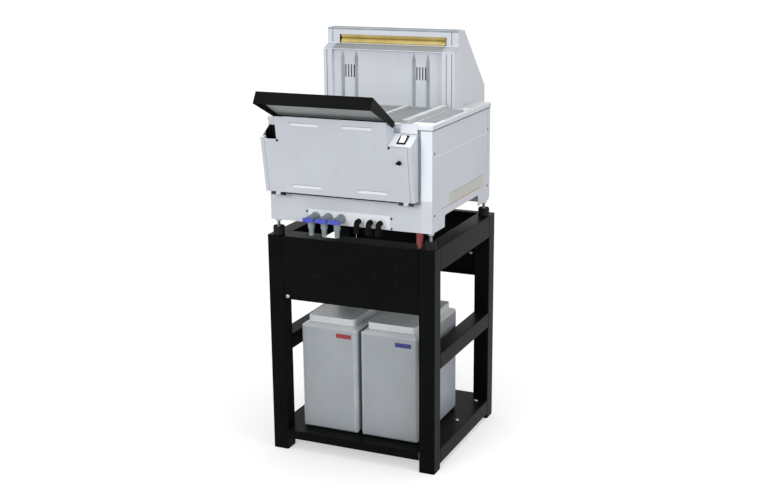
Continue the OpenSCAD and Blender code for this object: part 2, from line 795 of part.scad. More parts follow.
// Hood with a deep front band, tapering to its pivots at the rear
module feed_lid() {
    rim = [lid_a, lid_b, lid_c, lid_start];
    top = [lid_b, lid_c, lid_c - lid_t * lid_top_up, lid_b - lid_t * lid_top_up];
    band = [lid_a, lid_b, lid_b - lid_t * lid_top_dir, lid_a - lid_t * lid_top_dir];
    color("#161616") placed() {
        side_plate(rim, [lid_l, lid_l + lid_t]);
        side_plate(rim, [lid_r - lid_t, lid_r]);
        side_plate(top, [lid_l, lid_r]);
        side_plate(band, [lid_l, lid_r]);
        bar_x([lid_l, tab_l + 1], lid_pivot[0], lid_pivot[1], lid_pin_r);
        bar_x([tab_r - cheek_t - 1, lid_r], lid_pivot[0], lid_pivot[1], lid_pin_r);
    }
}

// Flat grey lining of the lid, set up inside its band
module lid_liner() {
    front = lid_len - 12;
    color("#8f938f") placed()
        side_plate([lid_pt(24, liner_up - 10), lid_pt(front, liner_up), lid_pt(front, liner_up + liner_t),
            lid_pt(24, liner_up - 10 + liner_t)], [lid_l + lid_t, lid_r - lid_t]);
}

// Bezel let into the right shoulder
module switch_bezel() {
    color("#0d0d0d") placed()
        translate([switch_mid[0], switch_mid[1], shoulder_z(switch_mid[1])])
            rotate([shoulder_slope, 0, 0])
                difference() {
                    union() {
                        translate([0, 0, 1.6])
                            cube([switch_size[0], switch_size[1], 3], center = true);
                        translate([0, 0, -5])
                            cube([switch_size[0] - 5.4, switch_size[1] - 5.4, 12], center = true);
                    }
                    cube([rocker_w + 1, switch_size[1] - 11, 40], center = true);
                    bar_x([-rocker_w / 2 - 2, rocker_w / 2 + 2], 0, 0, rocker_pin_r + run);
                }
}

module switch_rocker() {
    w = rocker_w;
    l = switch_size[1] - 14;
    color("#f2f2ee") placed()
        translate([switch_mid[0], switch_mid[1], shoulder_z(switch_mid[1])])
            rotate([shoulder_slope + rocker_tilt, 0, 0])
                union() {
                    side_plate([[-l / 2, -3], [l / 2, -3], [l / 2, 6], [0, 3.5], [-l / 2, 6]],
                        [-w / 2, w / 2]);
                    bar_x([-w / 2 - 1.4, w / 2 + 1.4], 0, 0, rocker_pin_r);
                }
}

module valve_plate() {
    color("#d9dcde") placed()
        difference() {
            block(plate_x, [front_y - plate_t, front_y], plate_z);
            for (x = concat(valve_x, inlet_x))
                bar_y(x, [front_y - plate_t - 1, front_y + 1], valve_z, 8 + run);
        }
}

// Angle valves: a pipe through the plate, a round body and a spigot pointing down
module valve_bodies() {
    y = front_y - valve_reach + 14;
    color("#8b9498") placed()
        for (x = valve_x)
            difference() {
                union() {
                    bar_y(x, [front_y - plate_t - 12, front_y + 20], valve_z, 8);
                    bar_y(x, [front_y - valve_reach, front_y - plate_t], valve_z, valve_r);
                    bar_y(x, [front_y - plate_t - 10, front_y - plate_t], valve_z, valve_r + 3);
                    bar_z(x, y, [valve_z - 34, valve_z], 12.5);
                    bar_z(x, y, [spigot_z, valve_z], spigot_r);
                }
                bar_z(x, y, [spigot_z - 1, valve_z], 6);
                bar_y(x, [y, front_y + 21], valve_z, 5.5);
                bar_y(x, [front_y - valve_reach - 1, y + 1], valve_z, handle_stem_r + run);
            }
}

// Butterfly handle on its stem
module valve_handle(i) {
    x = valve_x[i];
    y0 = front_y - valve_reach;
    color("#4a55b8") placed() {
        bar_y(x, [y0 - 4, y0 + 12], valve_z, handle_stem_r);
        bar_y(x, [y0 - 4 - handle_size[1], y0 - 2], valve_z, 9);
        translate([x, y0 - 4, valve_z])
            rotate([90, 0, 0])
                linear_extrude(handle_size[1])
                    round_rect(handle_size[0], handle_size[2], 5);
    }
}

module valve_handle_1() {
    valve_handle(0);
}

module valve_handle_2() {
    valve_handle(1);
}

module valve_handle_3() {
    valve_handle(2);
}

// Bulkhead nuts with elbows that turn down to a hose spigot
module inlet_fittings() {
    color("#e8e8e6") placed()
        for (x = inlet_x) {
            y = front_y - 32;
            difference() {
                union() {
                    bar_y(x, [front_y - plate_t - 10, front_y - plate_t], valve_z, 15);
                    bar_y(x, [y, front_y + 16], valve_z, 8);
                    translate([x, y, valve_z])
                        sphere(r = 11.5);
                    bar_z(x, y, [valve_z - 14, valve_z], 11.5);
                    bar_z(x, y, [valve_z - 40, valve_z], 10);
                }
                bar_z(x, y, [valve_z - 41, valve_z], 5);
                bar_y(x, [y, front_y + 17], valve_z, 5);
            }
        }
}

module overflow_drain() {
    color("#7a2626") placed() {
        bar_z(265, front_y + 18, [leg_z - 46, leg_z], 12);
        bar_z(265, front_y + 18, [leg_z - 57, leg_z - 46], 8);
    }
}

// A flat cover that drops into its pocket
module pocket_cover(x, y) {
    block([x[0] + 0.5, x[1] - 0.5], [y[0] + 0.5, y[1] - 0.5], [top_z - pocket_t + slip, top_z + slip]);
}

// Cover over the processing bays, with its moulded ribs
module main_cover() {
    base = top_z + slip;
    color("#9fa3a3") placed() {
        pocket_cover(main_x, main_y);
        for (x = [rib_a_x, rib_b_x])
            block(x, [main_y[0] + 2, main_y[1] - 2], [base - 1, base + rib_h]);
        block(rib_c_x, [main_y[0] + 2, main_y[1] - 1], [base - 1, base + rib_c_h]);
        block(rib_c_x, [front_y + 2, main_y[0] + 3], [base, base + rib_c_h]);
    }
}

module service_cover() {
    color("#9fa3a3") placed()
        pocket_cover(service_x, service_y);
}

// One moulding with three deep bays, each with a round bottom
module tank() {
    color("#3f4245") placed()
        difference() {
            block([tank_l, tank_r], [rack_y[0] - tank_half - tank_wall, rack_y[2] + tank_half + tank_wall],
                [tank_z, tank_top]);
            for (y = rack_y) {
                block([tank_in_l, tank_in_r], [y - tank_half, y + tank_half], [trough_z, tank_top + 1]);
                bar_x([tank_in_l, tank_in_r], y, trough_z, tank_half);
            }
        }
}

// Two side plates joined by tie bars, with ears that hang on the tank's walls
module rack(y) {
    color("#d9d6cc") placed()
        difference() {
            union() {
                for (x = [[rack_l - rack_plate_t, rack_l], [rack_r, rack_r + rack_plate_t]]) {
                    block(x, [y - rack_half, y + rack_half], [trough_z, rack_top]);
                    bar_x(x, y, trough_z, rack_half);
                }
                block([tank_l + 1, rack_l], [y - 18, y - 6], [tank_top + slip, tank_top + slip + 5]);
                block([rack_r, tank_r - 1], [y - 18, y - 6], [tank_top + slip, tank_top + slip + 5]);
                for (side = [-34, 34], z = [trough_z + 40, rack_top - 40])
                    bar_x([rack_l - 1, rack_r + 1], y + side, z, 5);
            }
            for (z = [trough_z, drive_roller_z])
                bar_x([rack_l - rack_plate_t - 1, rack_r + rack_plate_t + 1], y, z, shaft_r + run);
        }
}

module developer_rack() {
    rack(rack_y[0]);
}

module fixer_rack() {
    rack(rack_y[1]);
}

module wash_rack() {
    rack(rack_y[2]);
}

// Driven roller with its gear on the left end of its shaft
module drive_roller(i) {
    turn = i == 1 ? 180 / roller_teeth : 0;
    color("#8c8f92") placed() {
        bar_x([roll_l, roll_r], rack_y[i], drive_roller_z, drive_roller_r);
        bar_x([gear_l, roll_r + plate_gap + rack_plate_t], rack_y[i], drive_roller_z, shaft_r);
        gear_disc([gear_l, gear_l + gear_w], rack_y[i], drive_roller_z, roller_teeth, turn);
    }
}

module drive_roller_1() {
    drive_roller(0);
}

module drive_roller_2() {
    drive_roller(1);
}

module drive_roller_3() {
    drive_roller(2);
}

module turn_roller(i) {
    color("#b9bbb7") placed() {
        bar_x([roll_l, roll_r], rack_y[i], trough_z, turn_roller_r);
        bar_x([roll_l - plate_gap - rack_plate_t, roll_r + plate_gap + rack_plate_t], rack_y[i], trough_z,
            shaft_r);
    }
}

module turn_roller_1() {
    turn_roller(0);
}

module turn_roller_2() {
    turn_roller(1);
}

module turn_roller_3() {
    turn_roller(2);
}

// Flat gear motor on the outer side of the gear plate
module drive_motor() {
    a = drive_plate_x[0];
    color("#5b5f63") placed()
        difference() {
            union() {
                bar_x([a - 24, a], rack_y[1], drive_z, motor_r);
                block([a - 6, a], [rack_y[1] - 42, rack_y[1] + 42], [drive_z - 18, drive_z + 18]);
            }
            bar_x([a - 20, a + 1], rack_y[1], drive_z, shaft_r + run);
        }
}

// Drive gear with its belt pulley: the outer ones turn on stub axles, the middle one has the motor's shaft
module drive_gear(i) {
    turn = i == 1 ? 180 / drive_teeth : 0;
    color("#e3dccb") placed() {
        difference() {
            union() {
                gear_disc([gear_l, gear_l + gear_w], rack_y[i], drive_z, drive_teeth, turn);
                bar_x([gear_l - 3, axle_end - 2], rack_y[i], drive_z, pulley_r);
            }
            for (a = [0:60:300])
                bar_x([gear_l - 5, gear_l + gear_w + 1], rack_y[i] + 30 * cos(a), drive_z + 30 * sin(a), 8);
            if (i != 1)
                bar_x([gear_l - 5, axle_end], rack_y[i], drive_z, axle_r + run);
        }
        if (i == 1)
            bar_x([drive_plate_x[0] - 19, gear_l], rack_y[i], drive_z, shaft_r);
    }
}

module drive_gear_1() {
    drive_gear(0);
}

module drive_gear_2() {
    drive_gear(1);
}

module drive_gear_3() {
    drive_gear(2);
}

// Belt loop round the three pulleys, one outline less the other
module belt_loop(r) {
    union() {
        for (y = [rack_y[0], rack_y[2]])
            translate([y, drive_z])
                circle(r = r);
        translate([rack_y[0], drive_z - r])
            square([rack_y[2] - rack_y[0], 2 * r]);
    }
}

module drive_belt() {
    color("#1c1c1c") placed()
        translate([belt_l, 0, 0])
            rotate([90, 0, 90])
                linear_extrude(belt_w)
                    difference() {
                        belt_loop(pulley_r + run + belt_t);
                        belt_loop(pulley_r + run);
                    }
}

// Outline of the tower from the side
tower_side = [[tower_front, top_z], [tower_front, ledge_low], [upper_front, ledge_high],
    [upper_front, tower_top], [upper_front + crown_d, tower_top], [tower_rear, slant_bottom],
    [tower_rear, tower_floor], [rear_y + 2, tower_floor], [rear_y + 2, top_z]];

// Sides, front and top of the tower: stepped front, moulded lines, roller slot, pointed ribs, vent slots
module dryer_housing() {
    w = tower_wall;
    face = tower_front + recess_d;
    front = [[tower_front, top_z], [tower_front, ledge_low], [upper_front, ledge_high],
        [upper_front, tower_top], [upper_front + crown_d, tower_top], [upper_front + crown_d, tower_top - w],
        [upper_front + w, tower_top - w], [upper_front + w, ledge_high - w], [face + w, ledge_low - w + 4],
        [face + w, top_z]];
    color("#cbced3") placed() {
        side_plate(tower_side, [tower_l, tower_l + w]);
        side_plate(tower_side, [tower_r - w, tower_r]);
        difference() {
            side_plate(front, [tower_l, tower_r]);
            block(recess_x, [tower_front - 1, face], [top_z - 1, ledge_low - 2]);
            for (x = [[tower_l + w, recess_x[0] - w], [recess_x[1] + w, tower_r - w]])
                block(x, [tower_front + w, face + w + 1], [top_z - 1, ledge_low - 6]);
            block(slot_x, [upper_front - 1, upper_front + w + 1], slot_z);
            for (x = [tower_l + 14, tower_r - 32, tower_r - 11.5])
                block([x - line_w / 2, x + line_w / 2], [tower_front - 1, tower_front + line_d],
                    [top_z - 1, ledge_low - 4]);
            for (x = [tower_l + 20, tower_r - 27.5])
                block([x - line_w / 2, x + line_w / 2], [upper_front - 1, upper_front + line_d],
                    [ledge_high + 3, tower_top + 1]);
            for (mid = vent_x, k = [-1.5, -0.5, 0.5, 1.5])
                block([mid + 11.5 * k - 2, mid + 11.5 * k + 2], [face - 1, face + w + 1], vent_z);
        }
        for (mid = vent_x, side = [-1, 1])
            translate([mid + side * 27.5, face, 0])
                rotate([90, 0, 0])
                    linear_extrude(3)
                        polygon([[-vent_rib, top_z], [vent_rib, top_z], [vent_rib, ledge_low - 34],
                            [0, ledge_low - 8], [-vent_rib, ledge_low - 34]]);
    }
}

// Slanted and upright rear cover of the tower with the fan's grille
module dryer_back() {
    w = tower_wall;
    in = [tower_l + w, tower_r - w];
    slope = [tower_rear - upper_front - crown_d, tower_top - slant_bottom];
    drop = w * norm(slope) / slope[0];
    outline = [[upper_front + crown_d, tower_top], [tower_rear, slant_bottom], [tower_rear, tower_floor],
        [rear_y + 2, tower_floor], [rear_y + 2, tower_floor + w], [tower_rear - w, tower_floor + w],
        [tower_rear - w, slant_bottom - drop + w * slope[1] / slope[0]],
        [upper_front + crown_d, tower_top - drop]];
    color("#c6c9ce") placed()
        difference() {
            side_plate(outline, in);
            for (k = [-3:3])
                block([path_mid - fan_r + 4 + 4 * abs(k), path_mid + fan_r - 4 - 4 * abs(k)],
                    [tower_rear - w - 1, tower_rear + 1], [fan_z + 14 * k - 3.5, fan_z + 14 * k + 3.5]);
        }
}

// Bearing blocks at both ends of the exit rollers
module roller_brackets() {
    color("#151515") placed()
        difference() {
            for (x = [[slot_x[0] - 12, slot_x[0] - 1], [slot_x[1] + 1, slot_x[1] + 12]])
                block(x, [upper_front + tower_wall, exit_y + 10], [exit_low_z - 8, exit_high_z + 10]);
            for (z = [exit_low_z, exit_high_z])
                bar_x([slot_x[0] - 20, slot_x[1] + 20], exit_y, z, exit_shaft_r + run);
        }
}

module exit_roller(z) {
    color("#c9a84a") placed() {
        bar_x([slot_x[0] + 4, slot_x[1] - 4], exit_y, z, exit_roller_r);
        bar_x([slot_x[0] - 11, slot_x[1] + 11], exit_y, z, exit_shaft_r);
    }
}

module exit_roller_lower() {
    exit_roller(exit_low_z);
}

module exit_roller_upper() {
    exit_roller(exit_high_z);
}

// Square fan frame behind the grille with a hub spider
module fan_housing() {
    y = [fan_y, fan_y + fan_d];
    half = fan_size / 2;
    color("#232425") placed() {
        difference() {
            block([path_mid - half, path_mid + half], y, [fan_z - half, fan_z + half]);
            bar_y(path_mid, [y[0] - 1, y[1] + 1], fan_z, fan_r);
        }
        difference() {
            union() {
                bar_y(path_mid, [y[1] - 12, y[1]], fan_z, 20);
                for (a = [0, 90])
                    translate([path_mid, y[1] - 3, fan_z])
                        rotate([0, a, 0])
                            cube([2 * fan_r + 2, 6, 5], center = true);
            }
            bar_y(path_mid, [y[0], y[1] - 4], fan_z, 4 + run);
        }
    }
}

// Hub with seven pitched blades
module fan_wheel() {
    y = [fan_y + 2, fan_y + fan_d - 13];
    color("#2c2d2f") placed() {
        bar_y(path_mid, y, fan_z, 19);
        bar_y(path_mid, [y[1], fan_y + fan_d - 5], fan_z, 4);
        for (k = [0:6])
            translate([path_mid, (y[0] + y[1]) / 2, fan_z])
                rotate([0, k * 360 / 7, 0])
                    translate([34, 0, 0])
                        rotate([38, 0, 0])
                            cube([36, 2, 24], center = true);
    }
}

// Outline with round corners at the bottom and sloping shoulders at the top, centred
module jug_outline(w, h, r) {
    low = h / 2 - jug_slope[1];
    translate([0, -jug_slope[1] / 2])
        round_rect(w, h - jug_slope[1], r);
    polygon([[-w / 2, low - r - 1], [w / 2, low - r - 1], [w / 2, low], [w / 2 - jug_slope[0], h / 2],
        [jug_slope[0] - w / 2, h / 2], [-w / 2, low]]);
}

// Rounded tank with a wide mouth, made from its plan, front and side outlines
module jug_solid(x, w, d, h, r) {
    intersection() {
        translate([x, jug_front + jug_d / 2, shelf_top + slip])
            linear_extrude(h)
                round_rect(w, d, r);
        translate([x, jug_front + jug_d / 2 + d / 2 + 1, shelf_top + slip + h / 2])
            rotate([90, 0, 0])
                linear_extrude(d + 2)
                    jug_outline(w, h, r * 0.8);
        translate([x - w / 2 - 1, jug_front + jug_d / 2, shelf_top + slip + h / 2])
            rotate([90, 0, 90])
                linear_extrude(w + 2)
                    jug_outline(d, h, r * 0.8);
    }
}

module jug(i) {
    x = jug_x[i];
    mouth = [jug_w, jug_d] - 2 * mouth_in;
    color("#dfe2e0") placed()
        difference() {
            union() {
                jug_solid(x, jug_w, jug_d, jug_h, jug_round);
                translate([x, jug_front + jug_d / 2, jug_top - jug_wall])
                    linear_extrude(neck_h + jug_wall)
                        round_rect(mouth[0], mouth[1], 12);
            }
            translate([0, 0, jug_wall])
                jug_solid(x, jug_w - 2 * jug_wall, jug_d - 2 * jug_wall, jug_h - 2 * jug_wall,
                    jug_round - jug_wall);
            translate([x, jug_front + jug_d / 2, jug_top - 3 * jug_wall])
                linear_extrude(neck_h + 4 * jug_wall)
                    round_rect(mouth[0] - 2 * jug_wall, mouth[1] - 2 * jug_wall, 10);
        }
}

module jug_left() {
    jug(0);
}

module jug_right() {
    jug(1);
}

// Lid with a skirt that slips over the mouth's neck
module jug_lid(i) {
    x = jug_x[i];
    mouth = [jug_w, jug_d] - 2 * mouth_in;
    low = jug_top + slip;
    color("#e9ebea") placed()
        difference() {
            translate([x, jug_front + jug_d / 2, low])
                linear_extrude(neck_h + lid_plate_t)
                    round_rect(mouth[0] + 2 * lid_skirt_t + 1, mouth[1] + 2 * lid_skirt_t + 1, 16);
            translate([x, jug_front + jug_d / 2, low - 1])
                linear_extrude(neck_h + 1)
                    round_rect(mouth[0] + 1, mouth[1] + 1, 12.5);
        }
}

module jug_lid_left() {
    jug_lid(0);
}

module jug_lid_right() {
    jug_lid(1);
}

stand_posts();
side_rails();
front_aprons();
rear_apron();
shelf();
stand_bolts();
chassis();
left_side_panel();
right_side_panel();
front_panel();
rear_panel();
top_frame();
levelling_feet();
rubber_cups();
mains_inlet();
case_screws();
feed_box();
front_door();
door_hinges();
door_latch();
door_screws();
feed_lid();
lid_liner();
switch_bezel();
switch_rocker();
valve_plate();
valve_bodies();
valve_handle_1();
valve_handle_2();
valve_handle_3();
inlet_fittings();
overflow_drain();
main_cover();
service_cover();
tank();
developer_rack();
fixer_rack();
wash_rack();
drive_roller_1();
drive_roller_2();
drive_roller_3();
turn_roller_1();
turn_roller_2();
turn_roller_3();
drive_motor();
drive_gear_1();
drive_gear_2();
drive_gear_3();
drive_belt();
dryer_housing();
dryer_back();
roller_brackets();
exit_roller_lower();
exit_roller_upper();
fan_housing();
fan_wheel();
jug_left();
jug_right();
jug_lid_left();
jug_lid_right();
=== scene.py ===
import math
import bpy
import bmesh
from mathutils import Matrix, Vector


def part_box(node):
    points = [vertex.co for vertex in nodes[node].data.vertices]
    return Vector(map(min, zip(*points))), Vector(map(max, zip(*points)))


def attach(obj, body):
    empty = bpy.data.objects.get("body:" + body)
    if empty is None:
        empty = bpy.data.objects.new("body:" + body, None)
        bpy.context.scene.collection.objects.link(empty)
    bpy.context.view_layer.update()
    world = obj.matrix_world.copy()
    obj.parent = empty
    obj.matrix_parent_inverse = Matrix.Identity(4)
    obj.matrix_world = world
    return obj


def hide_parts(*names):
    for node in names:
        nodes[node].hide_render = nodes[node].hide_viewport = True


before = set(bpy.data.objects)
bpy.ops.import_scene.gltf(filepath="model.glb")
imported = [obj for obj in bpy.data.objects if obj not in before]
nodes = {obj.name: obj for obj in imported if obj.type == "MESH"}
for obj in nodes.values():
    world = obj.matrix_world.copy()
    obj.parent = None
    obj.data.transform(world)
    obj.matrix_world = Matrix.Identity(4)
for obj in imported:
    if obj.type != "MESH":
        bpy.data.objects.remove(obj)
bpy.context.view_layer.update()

scene = bpy.context.scene

# Lengths below are millimetres. Y counts from the middle of the stand, this far behind the origin
depthShift = sum(corner.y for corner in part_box("stand_posts")) / 2 * 1000
print("frame loaded:", len(nodes), "nodes")


def extent(node):
    # A CAD node's limits along X, Y and Z, to a hundredth of a millimetre
    low, high = (corner * 1000 - Vector((0, depthShift, 0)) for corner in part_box(node))
    return [(round(low[axis], 2), round(high[axis], 2)) for axis in range(3)]


def near(value, reach=1.0):
    return value - reach, value + reach


def linear(hexText):
    channels = [int(hexText[i:i + 2], 16) / 255 for i in (1, 3, 5)]
    return [c / 12.92 if c <= 0.04045 else ((c + 0.055) / 1.055) ** 2.4 for c in channels] + [1]


def addNode(tree, kind, values=None, links=None, **settings):
    made = tree.nodes.new("ShaderNode" + kind)
    for name, value in settings.items():
        setattr(made, name, value)
    for name, value in (values or {}).items():
        made.inputs[name].default_value = value
    for name, socket in (links or {}).items():
        tree.links.new(socket, made.inputs[name])
    return made


# A Mix node's sockets have no names of their own: two colours and their mix, two plain values and theirs
firstColour, secondColour, mixedColour = 6, 7, 2
firstValue, secondValue, mixedValue = 2, 3, 0

# Noise gathers round 0.5, and these limits spread it over a whole mix
spread = {"cloud": (0.35, 0.65), "grain": (0.3, 0.7), "speck": (0.6, 0.72)}


def noise(tree, place, sizeMm, detail, roughness=0.5):
    values = {"Scale": 1000 / sizeMm, "Detail": detail, "Roughness": roughness}
    return addNode(tree, "TexNoise", values, {"Vector": place}).outputs["Fac"]


def spreadOut(tree, kind, socket, low=0.0, high=1.0):
    start, end = spread[kind]
    values = {"From Min": start, "From Max": end, "To Min": low, "To Max": high}
    return addNode(tree, "MapRange", values, {"Value": socket}).outputs[0]


def mixColours(tree, amount, first, second):
    made = addNode(tree, "Mix", data_type="RGBA")
    for socket, colour in ((firstColour, first), (secondColour, second)):
        if isinstance(colour, str):
            made.inputs[socket].default_value = linear(colour)
        else:
            tree.links.new(colour, made.inputs[socket])
    tree.links.new(amount, made.inputs[0])
    return made.outputs[mixedColour]


materials = {}


def makeMaterial(name, look):
    material = bpy.data.materials.new(name)
    material.use_nodes = True
    tree = material.node_tree
    shader = tree.nodes["Principled BSDF"]
    place = addNode(tree, "TexCoord").outputs["Object"]
    stretch = look.get("stretch", (1, 1, 1))      # how long the grain is along X, Y and Z
    drawn = addNode(tree, "Mapping", {"Scale": [1 / s for s in stretch]}, {"Vector": place}).outputs[0]
    cloud = noise(tree, place, look["cloudMm"], 3.0)
    grain = noise(tree, drawn, look["grainMm"], 2.0)
    colour = mixColours(tree, spreadOut(tree, "cloud", cloud), look["colour"], look["shade"])
    if "speck" in look:      # scuffs or flakes: colour, strength from 0 to 1, size in mm, length along Z
        hexText, strength, sizeMm, tall = look["speck"]
        drawn = addNode(tree, "Mapping", {"Scale": (1, 1, 1 / tall)}, {"Vector": place}).outputs[0]
        mask = spreadOut(tree, "speck", noise(tree, drawn, sizeMm, 4.0, 0.6), high=strength)
        colour = mixColours(tree, mask, colour, hexText)
    tree.links.new(colour, shader.inputs["Base Color"])
    tree.links.new(spreadOut(tree, "grain", grain, *look["roughness"]), shader.inputs["Roughness"])
    relief = addNode(tree, "Bump", {"Strength": 1.0, "Distance": look["reliefMm"] / 1000}, {"Height": grain})
    tree.links.new(relief.outputs[0], shader.inputs["Normal"])
    for socket, value in look.get("shader", {}).items():
        shader.inputs[socket].default_value = value
    materials[name] = material


